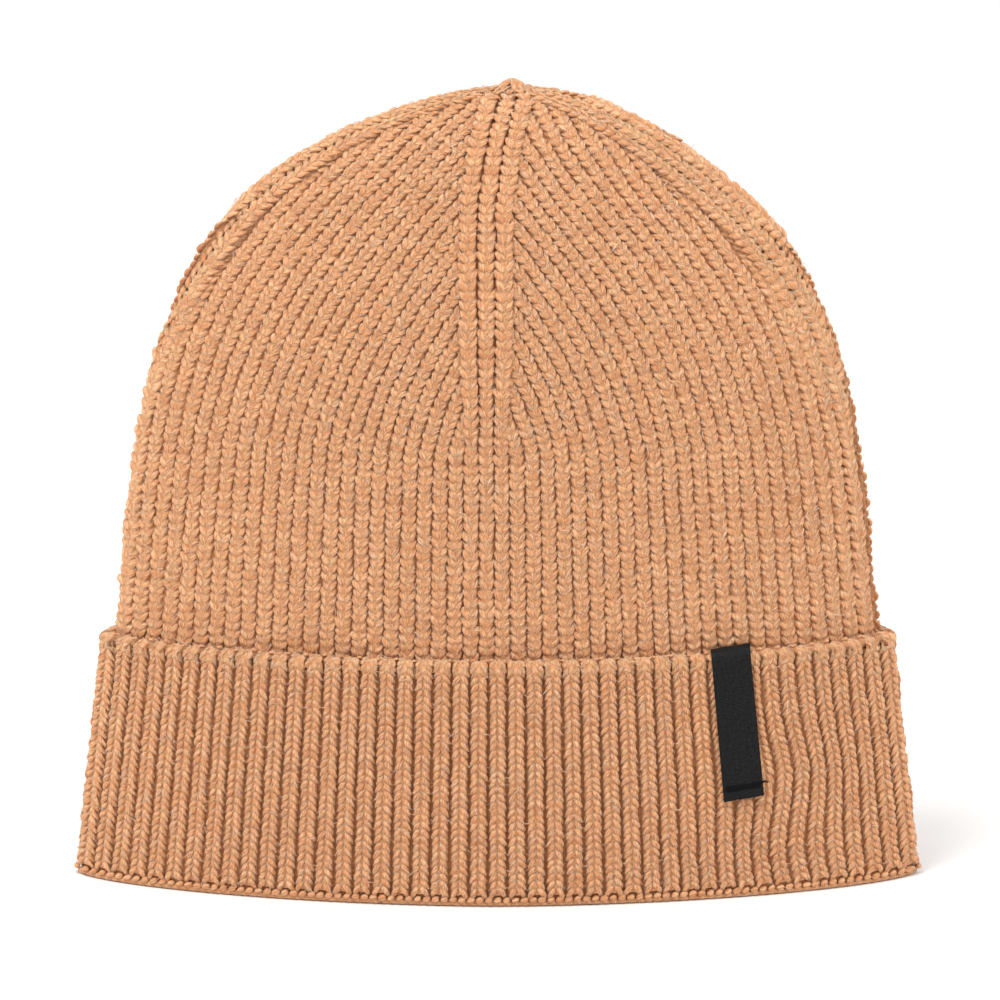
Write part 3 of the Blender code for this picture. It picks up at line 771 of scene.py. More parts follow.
def stitch_tree():
    """The node tree that knits: one stitch on every point, turned to its rib and face."""
    known = bpy.data.node_groups.get("knit_stitches")
    if known:
        return known
    tree = bpy.data.node_groups.new("knit_stitches", "GeometryNodeTree")
    for title, kind in STITCH_INPUTS:
        tree.interface.new_socket(title, in_out="INPUT", socket_type=kind)
    tree.interface.new_socket("Geometry", in_out="OUTPUT", socket_type="NodeSocketGeometry")
    given = node(tree, "NodeGroupInput").outputs
    out = node(tree, "NodeGroupOutput")

    normal, wale, spread = (
        node(tree, "GeometryNodeInputNamedAttribute", {"Name": title}, data_type="FLOAT_VECTOR")
        for title in ("face", "wale", "spread")
    )
    upright = node(
        tree, "FunctionNodeAlignRotationToVector", None,
        {"Vector": normal.outputs["Attribute"]}, axis="Z",
    )
    turned = node(
        tree, "FunctionNodeAlignRotationToVector", None,
        {"Rotation": upright.outputs[0], "Vector": wale.outputs["Attribute"]}, axis="Y", pivot_axis="Z",
    )

    less = node(tree, "ShaderNodeMath", {1: -1.0}, {0: given["Turn jitter"]}, operation="MULTIPLY")
    wobble = node(
        tree, "FunctionNodeRandomValue", None,
        {0: less.outputs[0], 1: given["Turn jitter"], "Seed": given["Seed"]}, data_type="FLOAT_VECTOR",
    )
    shaken = node(
        tree, "FunctionNodeRotateRotation", None,
        {"Rotation": turned.outputs[0], "Rotate By": wobble.outputs[0]}, rotation_space="LOCAL",
    )

    small = node(tree, "ShaderNodeMath", {0: 1.0}, {1: given["Size jitter"]}, operation="SUBTRACT")
    large = node(tree, "ShaderNodeMath", {0: 1.0}, {1: given["Size jitter"]}, operation="ADD")
    reseeded = node(tree, "ShaderNodeMath", {1: SIZE_RESEED}, {0: given["Seed"]}, operation="ADD")
    uneven = node(
        tree, "FunctionNodeRandomValue", None,
        {0: small.outputs[0], 1: large.outputs[0], "Seed": reseeded.outputs[0]}, data_type="FLOAT_VECTOR",
    )
    size = node(
        tree, "ShaderNodeVectorMath", None,
        {0: spread.outputs["Attribute"], 1: uneven.outputs[0]}, operation="MULTIPLY",
    )

    shape = node(tree, "GeometryNodeObjectInfo", None, {"Object": given["Stitch"]})
    placed = node(
        tree, "GeometryNodeInstanceOnPoints", None,
        {
            "Points": given["Geometry"], "Instance": shape.outputs["Geometry"],
            "Rotation": shaken.outputs[0], "Scale": size.outputs[0],
        },
    )
    shade = node(tree, "FunctionNodeRandomValue", None, {"Seed": given["Seed"]}, data_type="FLOAT")
    toned = node(
        tree, "GeometryNodeStoreNamedAttribute", {"Name": "tone"},
        {"Geometry": placed.outputs[0], "Value": shade.outputs[1]}, data_type="FLOAT", domain="INSTANCE",
    )
    real = node(tree, "GeometryNodeRealizeInstances", None, {"Geometry": toned.outputs[0]})
    dyed = node(
        tree, "GeometryNodeSetMaterial", None, {"Geometry": real.outputs[0], "Material": given["Yarn"]}
    )
    tree.links.new(dyed.outputs[0], out.inputs[0])
    return tree


def knitted(name, rows, stitch, seed, yarn="camel_lambswool_yarn", uneven=1.0):
    """A piece of knitting: a stitch at each row of place, outward way, rib's way and spread."""
    _, knit, _ = settings()
    places, faces, wales, spreads = (np.concatenate(part) for part in zip(*rows))
    cloud = bpy.data.meshes.new(name + "_places")
    cloud.vertices.add(len(places))
    cloud.vertices.foreach_set("co", places.astype(np.float32).ravel())
    for title, values in (("face", faces), ("wale", wales), ("spread", spreads)):
        layer = cloud.attributes.new(title, "FLOAT_VECTOR", "POINT")
        layer.data.foreach_set("vector", values.astype(np.float32).ravel())
    source = mesh_object(name + "_places", cloud)
    tree = stitch_tree()
    modifier = source.modifiers.new("knit", "NODES")
    modifier.node_group = tree
    inputs = {
        "Stitch": stitch, "Turn jitter": knit.turn_jitter * uneven, "Size jitter": knit.size_jitter * uneven,
        "Seed": knit.seed + seed, "Yarn": material(yarn),
    }
    for socket in tree.interface.items_tree:
        if socket.in_out == "INPUT" and socket.name in inputs:
            modifier[socket.identifier] = inputs[socket.name]
    depsgraph = bpy.context.evaluated_depsgraph_get()
    made = bpy.data.meshes.new_from_object(source.evaluated_get(depsgraph), depsgraph=depsgraph)
    if not made.polygons:
        raise RuntimeError(f"{name}: the node tree gave no stitches")
    source.modifiers.clear()
    bpy.data.objects.remove(source, do_unlink=True)
    bpy.data.meshes.remove(cloud)
    made.name = name
    return mesh_object(name, made)


# Places of the stitches

CROWN_HIDDEN = 0.016
PATH_SAMPLES = 700
APEX_REACH = 0.0022
UNDER_DART = 0.7
UNDER_SINK = 0.0006
UNDER_FROM = -0.1
BACK_UNDER = 0.45
BACK_SINK = 0.0009
BACK_FROM = -1.2


def rise_heights(low, high):
    """Heights up a rib, closer together towards the top, where the crown turns level."""
    t = np.linspace(0.0, 1.0, PATH_SAMPLES)
    return high - (high - low) * (1.0 - t) ** 2


def apex_height():
    """Height at which the darts' ribs come together."""
    form = bpy.context.scene.hat_form
    heights = rise_heights(form.dart_start, form.crown_top)
    return heights[np.searchsorted(-crown_axes(heights)[0], -APEX_REACH) - 1]


def in_dart(line):
    """Whether a rib line belongs to one of a quarter's two darts."""
    return min(line, quarter_lines() - line) < DART_RIBS


def dart_edges(quarter, z):
    """Distances from the middle of the front or back to the edges of a quarter's two darts."""
    near = line_across(DART_RIBS, z)
    far = line_across(quarter_lines() - DART_RIBS, z)
    if quarter in FRONT_QUARTERS:
        far = far - forward_share(quarter, z) * crown_axes(z)[0]
    return near, far


def rib_heights(quarter, line):
    """Heights along a rib line of the crown, from behind the cuff up to where it ends."""
    form = bpy.context.scene.hat_form
    heights = rise_heights(form.cuff_height - CROWN_HIDDEN, apex_height())
    if in_dart(line):
        return heights
    across = line_across(line, heights)
    under = (UNDER_DART if quarter in FRONT_QUARTERS else BACK_UNDER) * rib_pitch(heights)
    near, far = dart_edges(quarter, heights)
    runs = (heights <= form.dart_start) | ((across > near - under) & (across < far + under))
    return heights if runs.all() else heights[: int(np.argmin(runs))]


SIDE_TAPER = 0.62
TAPER_FROM = 0.183
TAPER_OVER = 0.016
CORNER_CORE = 0.84


def dart_raise(line, z, wide):
    """How far a rib of a dart stands proud of the gores, at heights where it has these widths."""
    form, knit, _ = settings()
    raised, start, blend, sink = knit.dart_rise, form.dart_start, knit.dart_blend, knit.dart_sink
    if line > DART_RIBS:
        start, blend, sink = knit.side_dart_from, knit.side_dart_blend, 0.0
        raised = knit.side_dart_rise * (1.0 - SIDE_TAPER * eased((z - TAPER_FROM) / TAPER_OVER))
    if line in (0, quarter_lines()):
        raised = raised - sink
    return raised * eased((z - start) / blend) * np.minimum(wide / knit.rib_width, 1.0)


def rib_frame(quarter, line, z):
    """Places along a rib's crest, their outward ways, the rib's way and its width."""
    step = 2e-5
    place, face = crown_line(quarter, line, z)
    wale = unit(crown_line(quarter, line, z + step)[0] - crown_line(quarter, line, z - step)[0])
    alone = (0, DART_RIBS + 1, quarter_lines() - DART_RIBS - 1, quarter_lines())
    before, after = line - 1, line + 1
    if line in alone:
        before, after = (line, after) if line in alone[:2] else (before, line)
    apart = (crown_line(quarter, after, z)[0] - crown_line(quarter, before, z)[0]) * 2.0 / (after - before)
    apart = apart - (apart * wale).sum(axis=1, keepdims=True) * wale
    wide = np.linalg.norm(apart, axis=1)
    if not in_dart(line):
        near, far = dart_edges(quarter, z)
        across = line_across(line, z)
        past = np.maximum(near - across, across - far) / rib_pitch(z)
        sink, start = (UNDER_SINK, UNDER_FROM) if quarter in FRONT_QUARTERS else (BACK_SINK, BACK_FROM)
        place = place - face * (sink * eased((past - start) / (UNDER_DART - start)))[:, None]
    else:
        place = place + face * dart_raise(line, z, wide)[:, None]
    return place, face, wale, wide


def rib_rows(quarter, line):
    """Stitches along one rib of the crown, in rows that meet the dart where the rib ends."""
    form, knit, _ = settings()
    heights = rib_heights(quarter, line)
    own = run_length(crown_line(quarter, line, heights)[0])
    front = run_length(crown_line(quarter, 0, heights)[0])
    lead = 1.0 if in_dart(line) else knit.course_lead
    behind = lead * (own[-1] - own) + (1.0 - lead) * (front[-1] - front)
    course = knit.dart_course if in_dart(line) else knit.crown_course
    row = ((own[-1] if in_dart(line) else front[-1]) - behind) / course
    z = np.interp(np.arange(math.ceil(row[0]), math.floor(row[-1]) + 1), row, heights)
    place, face, wale, wide = rib_frame(quarter, line, z)
    grown = eased((z - form.dart_start) / knit.dart_blend) if in_dart(line) else 0.0
    wide = wide / knit.rib_width * (knit.rib_share + (knit.dart_share - knit.rib_share) * grown)
    tall = np.full_like(wide, course / knit.crown_course)
    return place, face, wale, np.stack((wide, tall, np.clip(wide, 0.5, 1.0)), axis=1)


FLANK_FROM = 0.122
FLANK_SINK = 0.0003
FLANK_SHARE = 0.8


def flank_rows(quarter, line):
    """Stitches on the flank of a side dart's middle rib, which shows where the crown turns its corner."""
    place, face, wale, spread = rib_rows(quarter, line)
    shown = place[:, 2] > FLANK_FROM
    narrow = np.array((FLANK_SHARE, 1.0, 1.0))
    return (place - face * FLANK_SINK)[shown], face[shown], wale[shown], (spread * narrow)[shown]


CUFF_START = 0.0031
CUFF_TURN_IN = 0.007
EDGE_FLATNESS = 0.8
SIDE_SHARPNESS = 12
CUFF_UNEVEN = 0.7
SWAY_ACROSS = 0.072
SWAY_WIDTH = 0.016
SWAY_BUMPS = ((1.0, 0.031, 0.010), (-0.6, 0.011, 0.008))


def cuff_wall():
    """Length of the cuff's face that is straight, from the hem's loops to its rolled edge."""
    form, knit, _ = settings()
    return form.cuff_height - knit.cuff_inset - knit.edge_radius - CUFF_START


def cuff_share(quarter, line):
    """Share of a turn at a rib line of the cuff: ribs are wider on the front than on the back."""
    knit = bpy.context.scene.hat_knit
    t = line / quarter_lines()
    front = quarter in FRONT_QUARTERS
    across = t * (1.0 + (knit.cuff_front if front else -knit.cuff_front))
    return quarter_share(quarter, across + knit.cuff_fullness * math.sin(math.pi * t) / math.pi)


def cuff_at(run, share, sink=0.0):
    """Points along the cuff: up its face, over the rolled edge and down behind it."""
    knit = bpy.context.scene.hat_knit
    radius = knit.edge_radius
    wall = cuff_wall()
    edge = CUFF_START + wall
    turned = np.clip((run - wall) / radius, 0.0, math.pi)
    reach = radius - sink
    inset = radius - reach * np.cos(turned) + knit.cuff_inset
    beyond = np.maximum(run - wall - math.pi * radius, 0.0)
    z = CUFF_START + np.minimum(run, wall) + reach * np.sin(turned) - beyond
    half_width, half_depth = cuff_axes(np.minimum(z, edge), inset)
    near = np.exp(-((QUARTERS * share * half_width - SWAY_ACROSS) / SWAY_WIDTH) ** 2)
    bow = sum(most * np.exp(-((z - height) / tall) ** 2) for most, height, tall in SWAY_BUMPS)
    shares = share + knit.rib_sway * near * bow / (QUARTERS * half_width)
    return stacked(*section(half_width, half_depth, shares), z)


def cuff_frame(quarter, line, run):
    """Places along a rib of the cuff, their outward ways, the rib's way and its width."""
    step, side = 1e-4, 0.5
    share = cuff_share(quarter, line)
    place = cuff_at(run, share)
    along = unit(cuff_at(run + step, share) - cuff_at(run - step, share))
    turn = side / (QUARTERS * quarter_lines())
    sideways = cuff_at(run, share + turn) - cuff_at(run, share - turn)
    face = unit(np.cross(unit(sideways), along))
    lower, upper = max(line - 1, 0), min(line + 1, quarter_lines())
    shares = cuff_share(quarter, upper) - cuff_share(quarter, lower)
    wide = np.linalg.norm(sideways, axis=1) / (2.0 * turn) * abs(shares) * 2.0 / (upper - lower)
    return place, face, along, wide


def cuff_spread(line, run):
    """How much a rib of the cuff spreads along its height: at the sides, the hem and the rolled edge."""
    knit = bpy.context.scene.hat_knit
    hem = 1.0 - eased(run / knit.edge_blend)
    edge = eased((run - cuff_wall() + knit.edge_blend) / knit.edge_blend)
    side = knit.side_fullness * (line / quarter_lines()) ** SIDE_SHARPNESS
    return 1.0 + side + knit.edge_fullness * np.maximum(hem, edge)


def cuff_rows(quarter, line):
    """Stitches along one rib of the cuff, head down because the cuff is turned up."""
    knit = bpy.context.scene.hat_knit
    total = cuff_wall() + math.pi * knit.edge_radius + CUFF_TURN_IN
    run = np.arange(0.5, total / knit.cuff_course) * knit.cuff_course
    place, face, along, wide = cuff_frame(quarter, line, run)
    wide = wide / knit.rib_width * knit.cuff_rib_share * cuff_spread(line, run)
    tall = np.full_like(wide, knit.cuff_course / knit.crown_course)
    thick = np.where(run < cuff_wall(), 1.0, EDGE_FLATNESS)
    return place, face, -along, np.stack((wide, tall, thick), axis=1)


def hem_rows(height, per_rib, inset):
    """Places along the hem, so many to a rib, facing outwards with up as the rib's way."""
    count = QUARTERS * quarter_lines() // 2 * per_rib
    shares = np.arange(count) / count
    level = np.full(count, height)
    turn = 1e-4
    axes = cuff_axes(level, inset)
    place = stacked(*section(*axes, shares), level)
    sideways = unit(stacked(*section(*axes, shares + turn), level) - place)
    up = np.broadcast_to((0.0, 0.0, 1.0), place.shape)
    face = unit(np.cross(sideways, up))
    wide = np.linalg.norm(np.roll(place, -1, axis=0) - place, axis=1)
    return place, face, up, wide


# Operators

GROUND_FOOT = 0.0036
GROUND_WALL = 0.0010
GROUND_ROWS = 70
MERGE_WITHIN = 1e-6
INNER_RELIEF = 0.0006
CORE_ROWS = 48


def all_round():
    """Shares of a turn at every rib line round the hat."""
    columns = QUARTERS * quarter_lines()
    return np.arange(columns) / columns


def ring_faces(mesh, lower, upper, rows, width):
    """Faces between two rings of vertices, with a UV map in metres."""
    uv = mesh.loops.layers.uv[STRAND_MAP]
    count = len(lower)
    for k in range(count):
        after = (k + 1) % count
        face = mesh.faces.new((lower[k], lower[after], upper[after], upper[k]))
        face.smooth = True
        corners = ((k, rows[0]), (k + 1, rows[0]), (k + 1, rows[1]), (k, rows[1]))
        for loop, (column, row) in zip(face.loops, corners):
            loop[uv].uv = (column * width, row)


def shell(mesh, rings, width):
    """A surface through rings of points, closed at the top by a fan."""
    run = run_length(np.array([ring[0] for ring in rings]))
    made = [[mesh.verts.new(point) for point in ring] for ring in rings]
    for k in range(len(made) - 1):
        ring_faces(mesh, made[k], made[k + 1], run[k:k + 2], width)
    tip = mesh.verts.new(np.mean(rings[-1], axis=0))
    for k in range(len(made[-1])):
        mesh.faces.new((made[-1][k], made[-1][(k + 1) % len(made[-1])], tip)).smooth = True


def bridge(mesh, outer, inner):
    """The edge between an outer and an inner ring of points."""
    lower = [mesh.verts.new(point) for point in outer]
    upper = [mesh.verts.new(point) for point in inner]
    ring_faces(mesh, lower, upper, (0.0, np.linalg.norm(outer[0] - inner[0])), 0.0)


class HAT_OT_crown_ground(Operator):
    """Make the crown's ground: the knit behind the stitches, ribbed inside"""

    bl_idname = "hat.crown_ground"
    bl_label = "Crown ground"

    def execute(self, context):
        form, knit, _ = settings()
        shares = all_round()
        relief = INNER_RELIEF * (np.arange(len(shares)) % 2)
        mesh = new_mesh()
        feet = []
        for depth in (knit.ground_depth, knit.ground_depth + GROUND_WALL + relief):
            heights = rise_heights(GROUND_FOOT, form.crown_top - np.max(depth))
            heights = heights[:: PATH_SAMPLES // GROUND_ROWS]
            rings = [crown_points(shares, np.full_like(shares, z), depth) for z in heights]
            shell(mesh, rings, knit.rib_width / 2)
            feet.append(rings[0])
        bridge(mesh, *feet)
        bmesh.ops.remove_doubles(mesh, verts=mesh.verts, dist=MERGE_WITHIN)
        piece("crown_ground", mesh, "camel_lambswool_ground", "rib_knit", "crown")
        return {"FINISHED"}


class HAT_OT_crown_cores(Operator):
    """Lay a core of yarn under each of the crown's ribs"""

    bl_idname = "hat.crown_cores"
    bl_label = "Crown cores"

    def execute(self, context):
        _, knit, _ = settings()
        for quarter, title in enumerate(QUARTER_NAMES):
            mesh = new_mesh()
            for line in rib_lines(quarter):
                z = rib_heights(quarter, line)
                z = z[np.unique(np.linspace(0, len(z) - 1, CORE_ROWS).astype(int))]
                place, face, _, wide = rib_frame(quarter, line, z)
                raised = dart_raise(line, z, wide) if in_dart(line) else np.zeros_like(z)
                path = place - face * (knit.core_depth + raised / 2)[:, None]
                filled = knit.core_share * (knit.dart_share if in_dart(line) else 1.0)
                filled *= CORNER_CORE if line == quarter_lines() else 1.0
                sweep(mesh, path, wide * filled / 2, (knit.core_thickness + raised) / 2, face, LEG_SIDES)
            piece("crown_cores_" + title, mesh, "camel_lambswool_yarn", "rib_knit")
        return {"FINISHED"}


class HAT_OT_crown_gores(Operator):
    """Knit the crown's four gores, whose ribs run into the darts"""

    bl_idname = "hat.crown_gores"
    bl_label = "Crown gores"

    def execute(self, context):
        stitch = mesh_object("crown_stitch", stitch_mesh("crown_stitch", CROWN_LEGS))
        first, last = DART_RIBS + 1, quarter_lines() - DART_RIBS
        for quarter, title in enumerate(QUARTER_NAMES):
            rows = [rib_rows(quarter, line) for line in range(first, last, 2)]
            finished(knitted("crown_gore_" + title, rows, stitch, quarter), "rib_knit")
        bpy.data.objects.remove(stitch, do_unlink=True)
        return {"FINISHED"}


class HAT_OT_crown_darts(Operator):
    """Knit the four raised darts of three ribs, from behind the cuff up to the top"""

    bl_idname = "hat.crown_darts"
    bl_label = "Crown darts"

    def execute(self, context):
        stitch = mesh_object("dart_stitch", stitch_mesh("dart_stitch", CROWN_LEGS))
        for dart, title in enumerate(DART_NAMES):
            at_side = dart % 2 == 1
            middle = quarter_lines() if at_side else 0
            both = (dart, (dart - 1) % QUARTERS)
            rows = [rib_rows(dart, middle)]
            rows += [rib_rows(quarter, abs(middle - 2)) for quarter in both]
            if at_side:
                rows += [flank_rows(quarter, middle - 1) for quarter in both]
            finished(knitted("crown_dart_" + title, rows, stitch, QUARTERS + dart), "rib_knit")
        bpy.data.objects.remove(stitch, do_unlink=True)
        return {"FINISHED"}


# Outline of the cuff's ground: distances in from the cuff's face, with heights or depths below its edge
FOLD_OUTSIDE = ((0.0030, 0.0003), (0.0024, 0.0009), (0.0023, 0.0022))
FOLD_INSIDE = ((0.0072, 0.0034), (0.0076, 0.0012), (0.0060, 0.0003))
GROOVE_HEIGHTS = (0.0034, 0.0060)
GROOVE_BELOW_EDGE = 0.0030
EDGE_ROLL = ((0.0022, 0.0006), (0.0026, 0.0), (0.0032, 0.0006))
EDGE_DEPTH = 0.0008
BACK_CLEARANCE = 0.0002
BACK_BELOW_EDGE = 0.0024
BACK_FOOT = 0.0036


class HAT_OT_cuff_ground(Operator):
    """Make the cuff's ground: the turned-up layer behind its stitches, with the fold below"""

    bl_idname = "hat.cuff_ground"
    bl_label = "Cuff ground"

    def execute(self, context):
        form, knit, _ = settings()
        shares = all_round()
        groove = knit.cuff_inset + knit.cuff_groove
        back = form.knit_thickness + BACK_CLEARANCE
        edge = form.cuff_height - EDGE_DEPTH
        profile = (
            *FOLD_OUTSIDE,
            *((groove, z) for z in (*GROOVE_HEIGHTS, edge - GROOVE_BELOW_EDGE)),
            *((inset, edge - below) for inset, below in EDGE_ROLL),
            (back, edge - BACK_BELOW_EDGE),
            (back, BACK_FOOT),
            *FOLD_INSIDE,
        )
        rings = [stacked(*section(*cuff_axes(z, inset), shares), z) for inset, z in profile]
        mesh = new_mesh()
        made = [[mesh.verts.new(point) for point in ring] for ring in rings]
        run = run_length(np.array([ring[0] for ring in rings] + [rings[0][0]]))
        for k in range(len(made)):
            ring_faces(mesh, made[k], made[(k + 1) % len(made)], run[k:k + 2], knit.rib_width / 2)
        piece("cuff_ground", mesh, "camel_lambswool_ground", "rib_knit", "cuff")
        return {"FINISHED"}


EDGE_CORE = 0.0012
EDGE_SHARE = 0.92


class HAT_OT_cuff_cores(Operator):
    """Lay a core of yarn under each of the cuff's ribs, fuller over the rolled edge"""

    bl_idname = "hat.cuff_cores"
    bl_label = "Cuff cores"

    def execute(self, context):
        _, knit, _ = settings()
        run = np.linspace(0.0, cuff_wall() + math.pi * knit.edge_radius, CORE_ROWS)
        over = eased((run - cuff_wall() + knit.edge_blend) / knit.edge_blend)
        depth = knit.cuff_core_depth + (EDGE_CORE - knit.cuff_core_depth) * over
        for quarter, title in enumerate(QUARTER_NAMES):
            mesh = new_mesh()
            for line in rib_lines(quarter):
                place, face, _, wide = cuff_frame(quarter, line, run)
                filled = knit.cuff_core_share * knit.cuff_rib_share * cuff_spread(line, run)
                across = wide * (filled + (EDGE_SHARE - filled) * over) / 2
                sweep(mesh, place - face * depth[:, None], across, knit.core_thickness / 2, face, LEG_SIDES)
            piece("cuff_cores_" + title, mesh, "camel_lambswool_yarn", "rib_knit")
        return {"FINISHED"}


class HAT_OT_cuff_ribs(Operator):
    """Knit the cuff's ribs, whose stitches hang head down because the cuff is turned up"""

    bl_idname = "hat.cuff_ribs"
    bl_label = "Cuff ribs"

    def execute(self, context):
        stitch = mesh_object("cuff_stitch", stitch_mesh("cuff_stitch", CUFF_LEGS))
        for quarter, title in enumerate(QUARTER_NAMES):
            rows = [cuff_rows(quarter, line) for line in rib_lines(quarter)]
            ribs = knitted("cuff_ribs_" + title, rows, stitch, 2 * QUARTERS + quarter, uneven=CUFF_UNEVEN)
            finished(ribs, "rib_knit")
        bpy.data.objects.remove(stitch, do_unlink=True)
        return {"FINISHED"}


BEADS_PER_RIB = 2
BEAD_HEIGHT = 0.0018
BEAD_INSET = 0.0012
BEAD_STEPS = (-1.0, -0.5, 0.0, 0.5, 1.0)
BEAD_REACH = 0.125
BEAD_SLANT = 0.0003
BEAD_DIP = 0.0005
BEAD_WIDTH = 0.0014
BEAD_THICKNESS = 0.0015
BEAD_SEED = 20
LIP_HEIGHT = 0.00076
LIP_INSET = 0.0022
LIP_RADIUS = 0.0007
LIP_SWELL = 0.00016
LIP_WAVE = 0.0001
LIP_STEPS = 6


class HAT_OT_hem(Operator):
    """Link the hem: two slanting beads of yarn to a rib, above a lip along the fold"""

    bl_idname = "hat.hem"
    bl_label = "Hem"

    def execute(self, context):
        _, knit, _ = settings()
        path = [(t * knit.rib_width * BEAD_REACH, t * BEAD_SLANT, -BEAD_DIP * t * t) for t in BEAD_STEPS]
        bead = mesh_object("hem_bead", strand_mesh("hem_bead", path, BEAD_WIDTH, BEAD_THICKNESS))
        place, face, up, wide = hem_rows(BEAD_HEIGHT, BEADS_PER_RIB, BEAD_INSET)
        wide = wide / (knit.rib_width / BEADS_PER_RIB)
        rows = [(place, face, up, np.stack((wide, np.ones_like(wide), np.ones_like(wide)), axis=1))]
        finished(knitted("hem_beads", rows, bead, BEAD_SEED), "linking_yarn", "hem_chain")
        bpy.data.objects.remove(bead, do_unlink=True)

        place, face, up, _ = hem_rows(LIP_HEIGHT, BEADS_PER_RIB * LIP_STEPS, LIP_INSET)
        wave = np.sin(2.0 * math.pi * np.arange(len(place)) / LIP_STEPS)
        radius = LIP_RADIUS + LIP_SWELL * wave
        mesh = new_mesh()
        sweep(mesh, place + up * LIP_WAVE * wave[:, None], radius, radius, face, LEG_SIDES, closed=True)
        piece("hem_lip", mesh, "camel_lambswool_yarn", "linking_yarn")
        return {"FINISHED"}


# A lobe of the knot: distances out from the crown's top, with heights above it
KNOT_LOBE = ((0.0044, -0.0022), (0.0032, -0.0007), (0.0019, 0.0005), (0.0008, 0.0011), (-0.0004, 0.0002))
KNOT_LOBES = 8
KNOT_RADIUS = 0.0008
KNOT_DEPTH = 0.75
KNOT_UNEVEN = 0.3
KNOT_WANDER = 2.3


class HAT_OT_crown_knot(Operator):
    """Draw the crown's last ribs together with a few turns of yarn"""

    bl_idname = "hat.crown_knot"
    bl_label = "Crown knot"

    def execute(self, context):
        form, _, _ = settings()
        top = np.array((form.apex_lean, 0.0, form.crown_top))
        up = np.array((0.0, 0.0, 1.0))
        mesh = new_mesh()
        for k in range(KNOT_LOBES):
            turn = 2.0 * math.pi * (k + KNOT_UNEVEN * math.sin(KNOT_WANDER * k)) / KNOT_LOBES
            out = np.array((math.cos(turn), KNOT_DEPTH * math.sin(turn), 0.0))
            path = [top + out * reach + up * rise for reach, rise in KNOT_LOBE]
            sweep(mesh, path, KNOT_RADIUS, KNOT_RADIUS, up, LEG_SIDES)
        piece("crown_knot_yarn", mesh, "camel_lambswool_yarn", "linking_yarn", "crown_knot")
        return {"FINISHED"}


BACK_MIDDLE = 0.5
SEAM_FOOT = 0.006
SEAM_TOP = 0.165
SEAM_STEPS = 60
SEAM_HALF = 0.0017
SEAM_RADIUS = 0.0007
SEAM_CLEARANCE = 0.0008
OVERCAST_TURN = 0.0045
OVERCAST_STEPS = 480
OVERCAST_REACH = 1.05
OVERCAST_LIFT = 0.0008
OVERCAST_CLEARANCE = 0.0002
OVERCAST_RADIUS = 0.0003
LINK_FROM = 0.004
LINK_BELOW_EDGE = 0.002
LINK_STEPS = 160
LINK_SINK = 0.0009
LINK_DIP = 0.0004
LINK_SWAY = 0.0003
LINK_RADIUS = 0.0005


def seam_line(z):
    """Points up the inside of the crown's back, at heights."""
    form = bpy.context.scene.hat_form
    inside = crown_axes(z, form.knit_thickness + SEAM_CLEARANCE)
    return stacked(*section(*inside, np.full_like(z, BACK_MIDDLE)), z)


class HAT_OT_back_seams(Operator):
    """Sew the crown's seam allowance inside the back, and link the cuff's edges at the back"""

    bl_idname = "hat.back_seams"
    bl_label = "Back seams"

    def execute(self, context):
        _, knit, _ = settings()
        inward = np.array((0.0, -1.0, 0.0))
        spine = seam_line(np.linspace(SEAM_FOOT, SEAM_TOP, SEAM_STEPS))
        mesh = new_mesh()
        for side in (-1.0, 1.0):
            aside = np.array((side * SEAM_HALF / 2, 0.0, 0.0))
            sweep(mesh, spine + aside, SEAM_HALF / 2, SEAM_RADIUS, inward, LEG_SIDES)
        turns = np.linspace(0.0, (SEAM_TOP - SEAM_FOOT) / OVERCAST_TURN, OVERCAST_STEPS)
        sway = 2.0 * math.pi * turns
        over = seam_line(SEAM_FOOT + turns * OVERCAST_TURN)
        over[:, 0] += OVERCAST_REACH * SEAM_HALF * np.cos(sway)
        over[:, 1] -= OVERCAST_LIFT * np.abs(np.sin(sway)) + OVERCAST_CLEARANCE
        sweep(mesh, over, OVERCAST_RADIUS, OVERCAST_RADIUS, inward, LEG_SIDES)
        piece("crown_back_seam_yarn", mesh, "camel_lambswool_yarn", "linking_yarn", "crown_back_seam")

        run = np.linspace(LINK_FROM, cuff_wall() - LINK_BELOW_EDGE, LINK_STEPS)
        links = cuff_at(run, BACK_MIDDLE + 1.0 / (QUARTERS * quarter_lines()))
        wave = math.pi * run / knit.cuff_course
        links[:, 0] += LINK_SWAY * np.sin(wave)
        links[:, 1] -= LINK_SINK + LINK_DIP * np.cos(wave)
        mesh = new_mesh()
        sweep(mesh, links, LINK_RADIUS, LINK_RADIUS, -inward, LEG_SIDES)
        piece("cuff_back_seam_yarn", mesh, "camel_lambswool_yarn", "linking_yarn", "cuff_back_seam")
        return {"FINISHED"}


LABEL_COLUMNS = 12
LABEL_ROWS = 90
RIPPLE = 0.00012
RIPPLE_ACROSS = 900.0
RIPPLE_ALONG = 240.0
TACK_STEPS = 8
TAIL_STEPS = 8
TAIL_RISE = 0.0005
TAIL_BEND = 3.0
TAIL_DROP = 0.0004
TAIL_SWELL = 2.2
TAIL_TAPER = 0.5


